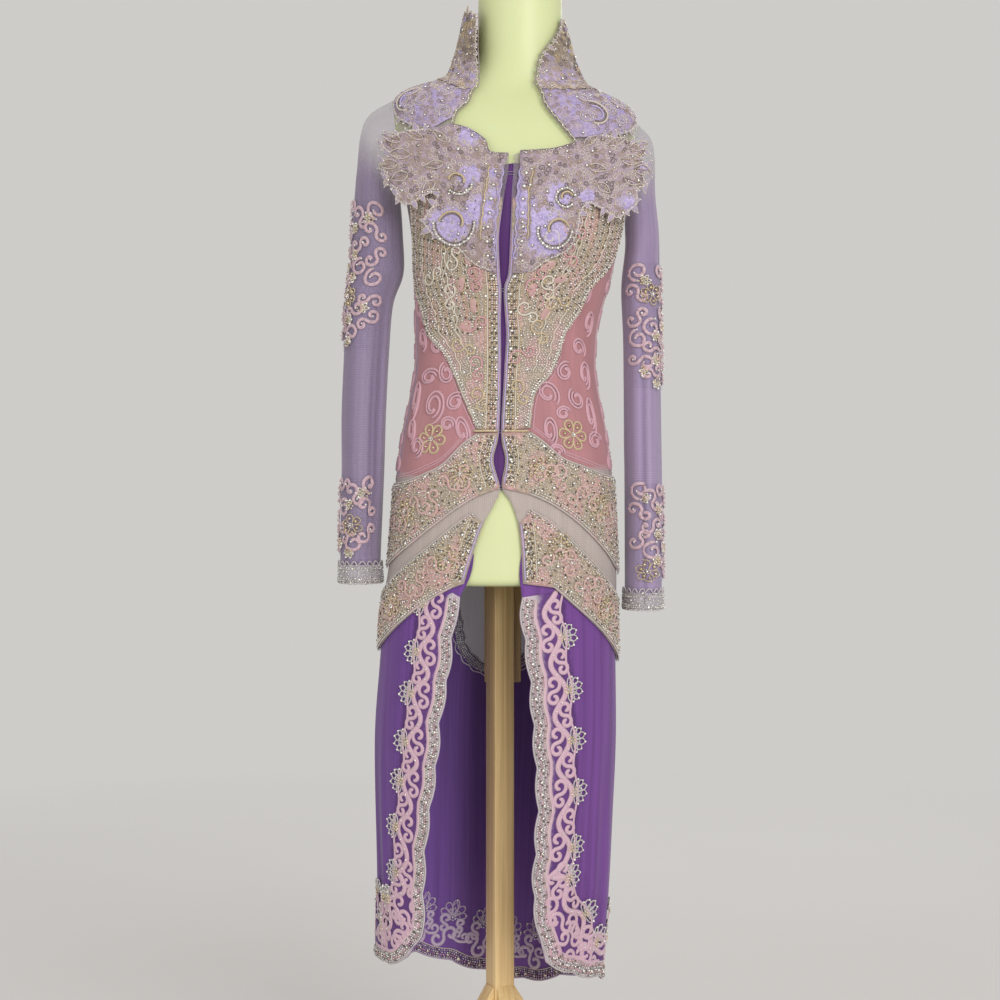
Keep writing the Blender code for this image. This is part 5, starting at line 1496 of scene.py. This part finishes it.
# %% The back's hem, whose stitches show on the inner side too
def lay_back_hem(trim, tint, rim_tint, bead_tint):
    path = smooth(BACK_HEM, 0.004)
    lay_rim(trim, back_hem()[2:-2], 1, 0.015, rim_tint)
    lay_chain(trim, beside(body, path, 0.028), 1, 0.043, 0.01, 0.0052, tint)
    for share, inset, reach in ((0.5, 0.045, 0.007), (0.0, 0.046, 0.0055)):
        places, angles = even(body, beside(body, path, inset), 0.043, share)
        trim.lay([curl_pair(reach, reach * 0.8)], places, angles, 0.0046, tint, 0.0012, "flat")
    places, angles = even(body, beside(body, path, 0.056), 0.043, 0.25)
    lay_fans(trim, places, angles, 0.024, 5, tint, bead_tint)
    trim.lay([leaf(0.022, 0.009), leaf(0.014, 0.005)], places, angles, 0.0016, tint)


trim = Trimming("hem_lace_back", 31)
lay_back_hem(trim, PINK_CORD, SILVER_CORD, GOLD_BEAD)
trim.sew()
# The inner side's stitches in pale lilac and silver, painted near white as painted light against the shade inside the
# skirt
LIT_INNER_CORD, LIT_INNER_SILVER = colour("#cdbad2"), colour("#f2ecf2")
trim = Trimming("skirt_back", 33, inner=True)
lay_back_hem(trim, LIT_INNER_CORD, LIT_INNER_CORD, LIT_INNER_SILVER)
tail_line = within_back(beside(body, smooth(PEPLUM_BACK_HEM, 0.004), -0.001))
tail_line = tail_line[(tail_line[:, 0] > 100) & (tail_line[:, 0] < 260)]
trim.cord(scallops(body, tail_line, 0.018, -0.0035), 0.0022, LIT_INNER_SILVER)
for inset in (0.002, 0.0046, 0.0072, 0.0098):
    trim.row(tail_line, 0.003, 0.0019, LIT_INNER_SILVER, vary=0.3, inset=inset)
trim.cord(scallops(body, beside(body, tail_line, 0.012), 0.018, 0.003), 0.002, LIT_INNER_SILVER)
trim.sew()

# %% [markdown]
# ## Embroidery on the bodice
#
# Strings of small beads run down from the bust and close up towards the waist, with dark beads at even steps between
# them. A beaded strip follows each front edge down to the hem. On the hips, bands of beads with pink scrolls and gold
# flowers lie above and below a sheer strip. At the waist, doubled cords curl over the pink lining.

# %% The front strips and the strings of the bead net
STRIP_WIDE, STRING_COUNT, STRING_PITCH = 0.019, 27, 0.0034
GOLD_FLOWERS = chart("-42 934 | 39 939")


def lay_front_strip(trim, side, low, high):
    """Beads between the front edge and a gold cord beside it, with dark beads at even steps."""
    edge, inward = front_line(FRONT_EDGE, side, low, high) + (side * (EDGE_STEP + 0.3), 0), -side
    trim.trace(edge, inward * 0.001, 0.002, LILAC_CORD)
    for k, inset in enumerate((0.0038, 0.0068, 0.0098, 0.0128)):
        line = beside(body, edge, inward * inset)
        trim.row(line, 0.0031, 0.0015, (PEARL, GOLD_BEAD, SILVER_BEAD, GOLD_BEAD)[k], vary=0.16)
        trim.row(line, 0.0118, 0.0015, DARK_BEAD, 0.25 + 0.5 * (k % 2), lift=0.0007)
    trim.row(edge, 0.023, 0.003, PEARL, 0.5, inward * 0.0055, lift=0.001, film=True)
    gold = beside(body, edge, inward * (STRIP_WIDE - 0.0028))
    trim.cord(gold, 0.0022, CREAM_CORD)
    trim.row(gold, 0.0036, 0.0014, GOLD_BEAD, vary=0.2, inset=inward * 0.0024)


# Pink satin leaves, swirls and small leaves on the net: metres out from the middle, height, and degrees of turn
SATIN_LEAVES = chart("""
40 1158 15, 48 1126 -12, 43 1074 75, 33 1100 5 |
60 1148 -60, 74 1132 -75, 56 1092 -20, 40 1118 5""", (MM, MM, 1))
NET_SWIRLS = chart("""
30 1130 20, 56 1160 150, 70 1180 60, 30 1078 100, 62 1110 10, 44 1048 60, 28 1020 20, 82 1140 110, 25 980 30,
85 1200 20 |
46 1132 160, 36 1090 40, 74 1105 110, 88 1160 20, 72 1180 80, 50 1066 20, 30 1040 120, 60 1120 10, 26 990 30,
94 1190 60""", (MM, MM, 1))
for side, word in SIDES:
    trim = Trimming(f"beaded_panel_{word}", 41 + side)
    lay_front_strip(trim, side, 0.94, 1.19)
    z = np.linspace(0.948, 1.238, 100)
    far = table_at([row[::-1] for row in BEADED_SIDE[side]], z)[0]
    near = np.interp(z, *front_line(FRONT_EDGE, side, 0.943, 1.25).T[::-1])
    _, _, wide, _ = body.look(pairs((near + far) / 2, z))
    near = near + side * (STRIP_WIDE - 0.001) / wide
    gap = np.abs(far - near) * wide / STRING_COUNT
    thin = np.where(gap > 0.0029, 1, np.where(gap > 0.0015, 2, 4))
    for k in range(STRING_COUNT):
        share, sway = (k + 0.5) / STRING_COUNT, 0.0012 * np.sin(2 * np.pi * z / 0.0165 + k * np.pi) / wide
        line = pairs(near + (far - near) * share + sway, z)[k % thin == 0]
        middle = pairs(near + (far - near) * (share + 0.5 / STRING_COUNT), z)[k % thin == 0]
        if k in (9, 10, 18):
            trim.cord(line, 0.0021, CREAM_CORD, lift=0.0006)
        elif len(line) > 8:
            trim.row(line, STRING_PITCH, 0.0014, (SILVER_BEAD, GOLD_BEAD, SILVER_BEAD, PEARL)[k % 4], k * GOLDEN % 1,
                     vary=0.2)
        if len(middle) > 8 and k % 2 and k < STRING_COUNT - 1:
            trim.row(middle, 0.01, 0.0016, DARK_BEAD, k * GOLDEN % 1, lift=0.0003)
    for out, height, turn in SATIN_LEAVES[side]:
        at = [at_front(side, out, height)], math.radians(turn)
        trim.lay([straight(-0.01, 0.01, 7)], *at, 0.0105, NET_PINK, 0.0018, "flat", lift=0.0004)
        trim.lay([leaf(0.024, 0.0125) - (0, 0.012)], *at, 0.0016, GOLD_CORD, lift=0.001)
    for k, (out, height, turn) in enumerate(NET_SWIRLS[side]):
        trim.lay([curl_pair(0.01, 0.0076, 1.1)], [at_front(side, out, height)], math.radians(turn), 0.0032,
                 (ROSE_CORD, CREAM_CORD, GOLD_CORD)[k % 3], side=(-1) ** k, lift=0.0007)
        trim.lay([leaf(0.013, 0.0055)], [at_front(side, out + 0.006, height - 0.004)], math.radians(turn + 120),
                 0.0014, GOLD_CORD, lift=0.0007)
    trim.cord(lace_edge(side, 0.9425, 0.9445)[:1] + pairs(np.linspace(0, side * 13, 12), 0.0), 0.0036, GOLD_CORD)
    border_line = smooth(BEADED_SIDE[side], 0.004)
    trim.trace(border_line, -side * 0.0022, 0.002, CREAM_CORD)
    trim.row(border_line, 0.0042, 0.0018, PEARL, vary=0.2, inset=-side * 0.0048)
    trim.scatter(0.0145, 43 + side, 0.003, 0.0023, PEARL, lift=0.0008, film=True)
    trim.sew()

# %% The hips' bands
SWIRL_PINK = colour("#c7a39c")
BAND_FLOWERS = {"upper": chart("-21 889, -58 842 | 18 896, 56 848"),
                "lower": chart("-27 783, -62 722 | 27 800, 60 718")}
for side, word in SIDES:
    for level, above, below, reach, clear in (
            ("upper", smooth(PEPLUM_TOP[side], 0.004) - (0, 0.002), SHEER_TOP, (0.875, 0.941), 14),
            ("lower", smooth(BAND_TOP[side], 0.004), BODICE_HEM, (0.755, 0.828), 18)):
        trim, below = Trimming(f"band_{level}_{word}", 51 + side), smooth(below[side], 0.004)
        for line, way in ((above, -side), (below, side)):
            trim.trace(line, way * 0.0014, 0.0019, SILVER_CORD)
            for inset, size in ((0.0042, 0.0016), (0.0073, 0.0014)):
                trim.row(line, 0.0037, size, SILVER_BEAD, vary=0.3, inset=way * inset)
        lay_front_strip(trim, side, *reach)
        share = np.linspace(0, 1, 60)
        above, below = (pairs(*(np.interp(share, np.linspace(0, 1, len(line)), column) for column in line.T))
                        for line in (above, below))
        middle = (above + below) / 2
        places, angles = even(body, middle[np.abs(middle[:, 0]) > clear], 0.026, 0.5)
        for k, (place, angle) in enumerate(zip(places, angles)):
            way = 1 if k % 2 else -1
            trim.lay([curl_pair(0.0105, 0.008)], [place + (0, way * 0.004)], angle + way * 0.8, 0.0036, SWIRL_PINK,
                     0.0014, "flat", side=way, lift=0.0008)
            trim.lay([leaf(0.014, 0.006)], [place + (way * 4.0, way * side * 0.006)], angle + way * 2.0, 0.0018,
                     CREAM_CORD, lift=0.0008)
        lay_flowers(trim, BAND_FLOWERS[level][side], 7, 0.0165, side * 0.3, 0.0016, 0.001)
        trim.scatter(0.0034, 53 + side, 0.004, 0.0014, SILVER_BEAD, vary=0.2)
        trim.scatter(0.0058, 55 + side, 0.004, 0.0015, GOLD_BEAD, vary=0.2, lift=0.0003)
        trim.scatter(0.0088, 59 + side, 0.004, 0.0015, DARK_BEAD, lift=0.0006)
        trim.scatter(0.015, 57 + side, 0.005, 0.0024, PEARL, lift=0.001, film=True)
        trim.sew()

# %% Doubled cords over the pink lining, and the waist's gold flowers
# Each curl: metres out from the middle, height, reach, degrees of turn, and how much taller than wide it is
WAIST_CURLS = chart("""
90 1013 10.4 90 1.5, 67.5 1017 10.2 200 1.3, 85 976 15.4 0 1.4, 56.2 980 11.6 120 1.1, 48 944 8.8 20 2.3,
106 924 10.7 0 1.2, 108 985 7.8 0 3.4, 80 1050 9.4 60 1.2, 99 1062 9.1 0 1.6, 104 1100 8.8 20 1.7,
113.5 945 7.9 10 2.2, 66 952 9.2 60 1.2, 92 1086 8.3 100 1.3 |
82.5 1019 10.8 150 1.1, 107.5 1017 9.8 0 1.8, 60 991 13.5 30 1.2, 97.5 985 11 200 1.2, 115 965 7.9 0 3.2,
62.5 944 9.4 0 2, 121.2 932 11.3 90 1.1, 100 1050 10 40 1.3, 112.5 1082 9.2 0 1.7, 108 1120 9.1 20 1.6,
71.2 918 8.5 70 1.2, 80 966 8.3 100 1.2""", (MM, MM, MM, 1))
# More of them down the sides: degrees round, height, turn in radians
SIDE_CURLS = chart("80 1128 1.2, 85 1090 .2, 88 1052 2, 86 1012 .6, 87 972 1.8, 84 936 1.6, 80 906 2.1", (1, MM, 1))
LINING_CORD = colour("#cfa0ab")


def lay_curl(trim, place, reach, turn, tall, width):
    """A curl of two cords side by side."""
    for share in (1.0, 0.66):
        shape = (spiral(reach * share, 1.15, 26, 0.72) - (0, reach * share)) * (1, tall)
        trim.lay([shape], [place], turn, width, LINING_CORD)


for side, word in SIDES:
    trim = Trimming(f"front_{word}", 61 + side)
    for out, height, reach, turn, tall in WAIST_CURLS[side]:
        lay_curl(trim, at_front(side, out, height), 1.12 * reach, math.radians(turn), tall, 0.0042)
    for turn, height, angle in SIDE_CURLS:
        lay_curl(trim, (side * turn, height), 0.0128, side * angle, 1.3, 0.0038)
    lay_flowers(trim, GOLD_FLOWERS[side], 6, 0.0195, 0.4, 0.0036)
    for turn, tint in ((79.0, LINING_CORD), (80.5, LINING_CORD), (87.5, CREAM_CORD)):
        line = pairs(side * turn + 0.5 * np.sin(np.linspace(0, 14, 60)), np.linspace(0.9, 1.16, 60))
        trim.cord(line, 0.0017, tint)
    trim.row(line + (side * -1.4, 0), 0.008, 0.0013, PEARL)
    trim.trace(smooth(BEADED_SIDE[side][6:], 0.004), side * 0.003, 0.0019, LINING_CORD)
    for rise in (0.004, 0.0075):
        trim.cord(smooth(HIP_TOP[side], 0.004) + (0, rise), 0.0018, LINING_CORD)
    trim.sew()

# %% [markdown]
# ## The chest, the shoulders and the collar
#
# This lace is the stiffest. Fine mauve cord lies in small curls all over it, over lilac satin stitch. Its edges are
# leaves, each outlined in cream cord, and two lilac scrolls on each side of the opening are ringed with sequins.

# %% Curls over a whole piece, and edges with small lobes and pearls
def lay_curls(trim, places, reach, tints, width=0.0011, lift=0.0):
    """Small curls in every direction, each in one of the given threads."""
    angles = trim.rng.uniform(0, 2 * np.pi, len(places))
    sizes = trim.rng.uniform(0.75, 1.2, len(places))
    chosen = trim.rng.integers(0, len(tints), len(places))
    shape = spiral(reach, 1.25, 13, 0.75) - (0, reach)
    for k, tint in enumerate(tints):
        pick = chosen == k
        trim.lay([shape], places[pick], angles[pick], width, tint, 0.0011, lift=lift, scale=sizes[pick])


def lay_lobed_edge(trim, line, inward, pitch=0.0085, tint=CREAM_CORD, depth=0.0022):
    """Small lobes of cord along an edge, with a pearl in each."""
    ground = trim.ground
    lobes = scallops(ground, beside(ground, line, inward * 0.0028), pitch, -inward * depth)
    trim.cord(lobes, 0.0016, tint)
    trim.trace(line, inward * 0.0046, 0.0012, MAUVE_CORD)
    trim.row(line, pitch, 0.0013, PEARL, 0.5, inward * 0.0026)


def lay_leaf_tips(trim, line, outward, longest, fill, pitch=0.0125):
    """Small satin leaves that point over an edge, each outlined in cream cord with a pearl at its tip."""
    places, angles = even(trim.ground, line, pitch, 0.5)
    places = step_aside(trim.ground, places, angles, -outward * longest * 0.4)
    angles = angles + (0.0 if outward > 0 else math.pi)
    lengths = longest * (0.74 + 0.26 * np.sin(np.arange(len(places)) * 1.9))
    for place, angle, length in zip(places, angles, lengths):
        trim.lay([straight(0.1, 0.9, 5) * length], [place], angle, length * 0.46, fill, 0.001, "flat")
        lines = trim.lay([leaf(length, length * 0.5)], [place], angle, 0.0013, CREAM_CORD)
        trim.bead(tips_of(lines), 0.0012, PEARL)


def lay_ring(trim, place, reach, side, start, end):
    """A medallion: a silver rope round its lower side, set with sequins, and a gold one that curls in above."""
    rope, gold = set_down(trim.ground, [arc(reach, start, end), arc(reach * 0.8, 15, 205, 0.55)], [place], 0.0, side)
    trim.cord(rope, 0.0036, SILVER_CORD, 0.0022, lift=0.0008)
    trim.trace(rope, side * 0.0027, 0.0018, CURL_DARK, lift=0.0004)
    trim.row(rope, 0.0068, 0.0025, PEARL, 0.5, lift=0.0024, film=True)
    trim.cord(gold, 0.0034, GOLD_CORD, 0.002, lift=0.0006)
    trim.trace(gold, side * 0.0028, 0.0014, CURL_DARK, lift=0.0004)


CURL_BROWN, CURL_CREAM, CURL_DARK = colour("#ad9886"), colour("#d0c2b8"), colour("#7a6a64")
# Leaves on the chest: degrees round and height of the root, direction in degrees, length
CHEST_LEAVES = chart("""
40 1300 20 24, 50 1296 12 28, 47 1281 -2 31, 54 1270 -8 29, 50 1258 -16 28, 28 1298 40 22, 32 1272 -14 24,
38 1250 -35 22""", (1, MM, 1, MM))
# Ringed medallions: metres out from the middle, height, reach, and where the rope starts and ends in degrees
CHEST_RINGS = chart("""
54.5 1198 25 170 372, 50 1249 17 185 330 |
68 1190 21.5 165 365, 80 1229.5 12 0 330""", (MM, MM, MM, 1))
CF_LOBE, CF_CORD = 0.0165, 0.0185
for side, word in SIDES:
    trim = Trimming(f"chest_lace_{word}", 71 + side)
    places = sprinkle(trim.cloth, 0.0056, 73 + side, 0.003)
    at_x = body_base(*places.T)[:, 0] * side
    plain = np.min([np.hypot(at_x - out, places[:, 1] - height) / radius for out, height, radius in LILAC_SPOTS[side]],
                   axis=0)
    lay_curls(trim, places[plain > 0.85], 0.0036, (CURL_BROWN, CURL_CREAM, CURL_BROWN, CURL_CREAM, CURL_DARK), 0.0017)
    lay_curls(trim, places[plain <= 0.85][::2], 0.003, (LILAC_CORD, LILAC_CORD, SILVER_CORD), 0.0012)
    for turn, height, degrees, length in CHEST_LEAVES:
        at = [(side * turn, height)], side * math.radians(degrees - 90)
        trim.lay([leaf(length, length * 0.44, 11)], *at, 0.0018, CURL_CREAM, 0.0016, lift=0.0009)
        trim.lay([straight(0, length * 0.9, 8)], *at, 0.0013, CURL_BROWN, lift=0.0009)
    for out, height, *ring in CHEST_RINGS[side]:
        lay_ring(trim, at_front(side, out, height), ring[0], side, *ring[1:])
    edge = front_line(FRONT_EDGE, side, CHEST_LOW + 0.012, 1.268) + (side * 1.5, 0)
    lobes = scallops(chest, beside(chest, edge, -side * 0.003), CF_LOBE, side * 0.003)
    trim.cord(lobes, 0.002, LILAC_CORD)
    trim.trace(lobes, -side * 0.003, 0.0012, DEEP_LILAC)
    trim.row(edge, CF_LOBE, 0.003, PEARL, 0.5, -side * 0.0105, lift=0.0008, film=True)
    rope = scallops(chest, beside(chest, edge, -side * CF_CORD)[6:], CF_LOBE, -side * 0.0016)
    trim.cord(rope, 0.0024, GOLD_CORD, lift=0.0006)
    trim.trace(rope, -side * 0.0026, 0.0016, CURL_BROWN, lift=0.0006)
    wing = smooth(CHEST_WING[side], 0.004)
    lay_lobed_edge(trim, wing, -side, 0.0078)
    lay_leaf_tips(trim, wing[wing[:, 1] > 1.18], side, 0.015, MAUVE * 0.6 + LILAC * 0.4)
    lay_lobed_edge(trim, smooth(NECKLINE[side], 0.004), -side, 0.009, CURL_DARK)
    trim.scatter(0.01, 75 + side, 0.003, 0.0013, GOLD_BEAD, lift=0.0008)
    trim.scatter(0.021, 77 + side, 0.004, 0.0022, PEARL, lift=0.0012, film=True)
    trim.sew()

# %% The shoulders' lace
SHOULDER_SCROLLS = chart("""
30 1338 8.5 .5, 46 1352 9.5 2, 62 1362 9 3.4, 34 1365 8 1.2, 54 1338 7 4.4, 70 1352 6.5 .2""", (1, MM, MM, 1))
SOFT_MAUVE = MAUVE * 0.5 + LILAC * 0.5
SHOULDER_LOBE = chart("118 1350 19 | 120 1343 18.5", (MM,))  # metres out, height, reach
for side, word in SIDES:
    trim = Trimming(f"neck_lace_{word}", 81 + side)
    for turn, height, reach, angle in SHOULDER_SCROLLS:
        line, = trim.lay([spiral(reach, 1.1, 24, 0.62) - (0, reach)], [(side * turn, height)], side * angle,
                         reach * 0.52, SOFT_MAUVE, 0.0015, "flat", side=side, lift=0.0003)
        for way in (-1, 1):
            trim.trace(line, way * reach * 0.31, 0.0016, CURL_CREAM, lift=0.0005)
        trim.row(line, 0.006, 0.0012, SILVER_BEAD, lift=0.0014)
    lay_curls(trim, sprinkle(trim.cloth, 0.0056, 83 + side, 0.003), 0.0034,
              (CURL_BROWN, CURL_CREAM, MAUVE_CORD, LILAC_CORD))
    (out, height, reach), = SHOULDER_LOBE[side]
    place = at_front(side, out, height)
    for share, width, tint in ((1.0, 0.0036, CURL_CREAM), (0.84, 0.0018, CURL_DARK), (0.62, 0.0026, LILAC_CORD)):
        trim.lay([arc(reach * share, 105, -110, 0.2)], [place], 0.0, width, tint, lift=0.0007, side=side)
    outer = smooth(NECK_LACE_REACH, 0.004) * (side, 1)
    lay_lobed_edge(trim, outer, -side, 0.009)
    lay_leaf_tips(trim, outer, side, 0.0125, SOFT_MAUVE)
    lay_lobed_edge(trim, smooth(NECK_SIDE[side], 0.004) + (side * 1.0, 0), side, 0.008)
    trim.scatter(0.017, 85 + side, 0.003, 0.0021, PEARL, lift=0.001, film=True)
    trim.sew()

# %% The collar, with leaf tips along its rim
trim = Trimming("collar", 91)
lay_curls(trim, sprinkle("collar", 0.0062, 92, 0.0025), 0.0036,
          (CURL_BROWN, GOLD_CORD, CURL_DARK, CURL_CREAM, LILAC_CORD))
rim = pairs(np.linspace(-292, -49, 150), COLLAR_TALL)
lay_lobed_edge(trim, rim, -1, 0.0085)
for side, _ in SIDES:
    lay_lobed_edge(trim, collar_edge(side, 50), side, 0.011, CURL_CREAM, 0.003)
lay_leaf_tips(trim, rim, 1, 0.0115, CURL_BROWN)
for side, _ in SIDES:
    lay_leaf_tips(trim, collar_edge(side, 50)[4:], -side, 0.01, MAUVE)
foot = np.linspace(-345, -24, 120)
for v in (-0.0075, -0.0035, 0.0025):
    lay_curls(trim, even(neck, pairs(foot, v), 0.0048)[0], 0.004,
              (CURL_BROWN, CURL_CREAM, MAUVE_CORD), 0.002)
trim.scatter(0.019, 93, 0.003, 0.0021, PEARL, lift=0.001, film=True)
trim.scatter(0.0095, 94, 0.003, 0.0012, GOLD_BEAD, lift=0.0006)
trim.sew()

# %% [markdown]
# ## Sleeves and cuffs
#
# The sleeves stay bare except for sprays of pink scrolls down their outer side, above and below the elbow, and a
# beaded, scalloped cuff.

# %% Sprays on the sleeves
SPRAY_STEP, SPRAY_PINK = 0.0285, colour("#c9abb6")
SPRAY_COLUMNS = {("upper", -1): (-2, 34, 70, 102), ("lower", -1): (-22, 12, 48, 84),
                 ("upper", 1): (-14, 22, 60, 96), ("lower", 1): (-14, 20, 56, 92)}
SLEEVE_FLOWERS = {("upper", -1): (48, 1.118), ("upper", 1): (22, 1.12), ("lower", -1): (20, 0.828),
                  ("lower", 1): (6, 0.77)}
for side, word in SIDES:
    for level in ("upper", "lower"):
        low, high = SLEEVE_LACE[level, side]
        trim = Trimming(f"sleeve_lace_{level}_{word}", 101 + side)
        bloom = SLEEVE_FLOWERS[level, side]
        for k in range(round((high - low) / SPRAY_STEP)):
            for column, turn in enumerate(SPRAY_COLUMNS[level, side]):
                height = high - 0.013 - (k + (column % 2) * 0.5) * SPRAY_STEP
                if height < low + 0.011 or math.hypot((turn - bloom[0]) * 0.0007, height - bloom[1]) < 0.019:
                    continue
                shape = curl_pair(0.0092, 0.007) if (k + column) % 3 else spiral(0.0115, 1.2, 26, 0.7) - (0, 0.0115)
                lines = trim.lay([shape], [(side * turn, height)], 1.1 * k + 0.7 * column, 0.0048, SPRAY_PINK, 0.0013,
                                 "flat", side=1 if (k + column) % 2 else -1)
                trim.bead(lines[0][[0, -1]], 0.0017, PEARL, lift=0.0012)
                trim.row(lines[0], 0.0072, 0.0012, PINK_BEAD, lift=0.0012)
                if column == 1 or (column + k) % 4 == 0:
                    lay_fans(trim, [(side * (turn + 13), height - 0.012)], side * -1.1 + k, 0.0095, 4, CREAM_CORD)
        lay_flowers(trim, [(side * bloom[0], bloom[1])], 6, 0.014, 0.2, 0.0015, 0.0008)
        trim.sew()
    trim = Trimming(f"cuff_{word}", 111 + side)
    turns = np.linspace(0, 360, 160)
    low, high = CUFF_END[side], CUFF_END[side] + CUFF_HEIGHT
    for height, pitch in ((low + 0.004, 0.003), (low + 0.0075, 0.0036), (high - 0.004, 0.0036)):
        trim.row(pairs(turns, height), pitch, 0.0014, SILVER_BEAD, vary=0.3)
    for foot, depth, lobes, width in ((high - 0.001, 0.004, 9, 0.0018), (low + 0.0012, -0.0022, 12, 0.002)):
        trim.cord(pairs(turns, foot + depth * np.abs(np.sin(np.radians(turns) * lobes))), width, SILVER_CORD)
    trim.scatter(0.004, 113 + side, 0.0, 0.0013, SILVER_BEAD, vary=0.35)
    trim.scatter(0.009, 115 + side, 0.0, 0.0022, PEARL, film=True)
    trim.sew()

# %% [markdown]
# ## The back
#
# The back repeats what the front shows: cords over the pink sides, beads along the tail's hem, and small sprigs
# scattered in a half-drop repeat, as plain tulle usually has.

# %% Tail trim, sprigs and side scrolls
trim = Trimming("back_hem_trim", 121)
line = smooth(PEPLUM_BACK_HEM, 0.004)
trim.trace(line, 0.0012, 0.0018, SILVER_CORD)
lobes = scallops(body, beside(body, line, 0.0095), 0.0165, 0.0022)
trim.cord(lobes, 0.0016, LILAC_CORD)
for inset in (0.0038, 0.0068):
    trim.row(line, 0.0036, 0.0015, SILVER_BEAD, vary=0.3, inset=inset)
trim.row(line, 0.011, 0.0024, PEARL, 0.5, 0.0055, lift=0.0006, film=True)
trim.sew()

SPRIG_WIDE, SPRIG_TALL = 21.0, 0.052
trim = Trimming("back", 131)
sprig = fan(3, 0.0105, 0.005, 42) + [pairs(0.001 * np.sin(np.linspace(0, 3, 8)), np.linspace(0, -0.014, 8))]
for row, height in enumerate(np.arange(0.705, 1.24, SPRIG_TALL)):
    turns = np.arange(108 + (row % 2) * SPRIG_WIDE / 2, 254, SPRIG_WIDE)
    places = [(turn, height) for turn in turns if height > 0.74 or 108 < turn < 138 or 222 < turn < 252]
    if places:
        lines = trim.lay(sprig, places, 0.25 * (-1) ** row, 0.0014, ROSE_CORD if height > 0.89 else LILAC_CORD)
        trim.bead(tips_of(lines), 0.0013, PEARL)
        trim.bead(places, 0.0026, PEARL, film=True)
for side in (1, -1):
    for turn, height, angle in SIDE_CURLS:
        lay_curl(trim, (180 - side * (turn - 14), height), 0.008, side * angle, 1.2, 0.0019)
        lay_curl(trim, (180 - side * (turn - 3), height - 0.019), 0.0062, -side * angle, 1.3, 0.0019)
trim.cord(pairs(180.0, np.linspace(0.64, 1.37, 90)), 0.0022, colour("#9a7078"), 0.0006)  # the centre back seam
trim.sew()

# %% Camera, lights and floor
camera = new_object("camera", bpy.data.cameras.new("camera"))
CAMERA_AWAY, VIEW_WIDE, SENSOR = 2.3, 1.3, 24.0
camera.location = (0, -CAMERA_AWAY, 0.857)
camera.rotation_euler = (math.radians(90), 0, 0)
camera.data.sensor_fit, camera.data.sensor_height = "VERTICAL", SENSOR
camera.data.lens = SENSOR * CAMERA_AWAY / VIEW_WIDE
camera.data.clip_end = 60
bpy.context.scene.camera = camera
bpy.context.scene.view_settings.view_transform = "Standard"
bpy.context.scene.cycles.transparent_max_bounces = 24

for name, energy, size, place, aim in (
        ("key", 54, 1.5, (1.2, -2.8, 1.8), (0, 0, 0.85)),
        ("fill", 16, 2.0, (-1.8, -2.6, 1.2), (0, 0, 0.8)),
        ("back", 26, 2.0, (0.6, 3.0, 2.4), (0, 0, 0.95))):
    lamp = new_object(name, bpy.data.lights.new(name, "AREA"))
    lamp.data.energy, lamp.data.size = energy, size
    lamp.location = place
    lamp.rotation_euler = (Vector(aim) - Vector(place)).to_track_quat("-Z", "Y").to_euler()
world = bpy.data.worlds.new("studio")
world.use_nodes = True
wire(world.node_tree, world.node_tree.nodes["Background"], {"Color": colour("#dad8d5"), "Strength": 0.88})
bpy.context.scene.world = world

# A pale paper floor, with faint clouds in its tone, which fades out far from the stand so that no edge shows
FADE_FROM, FADE_TO, FLOOR_SIZE = 0.9, 3.4, 7.2
paper, tree = new_material("pale_paper", Roughness=0.9, Specular_IOR_Level=0.1)
places = add_node(tree, "TexCoord", out="Object")
clouds = noise(tree, places, 1.5)
clouds = blend(tree, clouds, colour("#d2d0ce"), colour("#d9d7d5"))
away = add_node(tree, "VectorMath", (places,), "Value", operation="LENGTH")
shade(tree, Base_Color=clouds, Alpha=ramp(tree, away, FADE_FROM, FADE_TO, 1, 0))
bpy.ops.object.select_all(action="DESELECT")
bpy.ops.mesh.primitive_grid_add(x_subdivisions=8, y_subdivisions=8, size=FLOOR_SIZE, location=(0, 0, 0))
floor = bpy.context.object
floor.name = "floor"
floor.data.materials.append(paper)

for name, cloth in cloths.items():
    wide, long = cloth["size"]
triangles = {o.name: sum(len(p.vertices) - 2 for p in o.data.polygons) for o in bpy.data.objects
             if o.type == "MESH" and "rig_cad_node" not in o}
print("triangles:", sum(triangles.values()), "most:", sorted(triangles.items(), key=lambda item: -item[1])[:4])
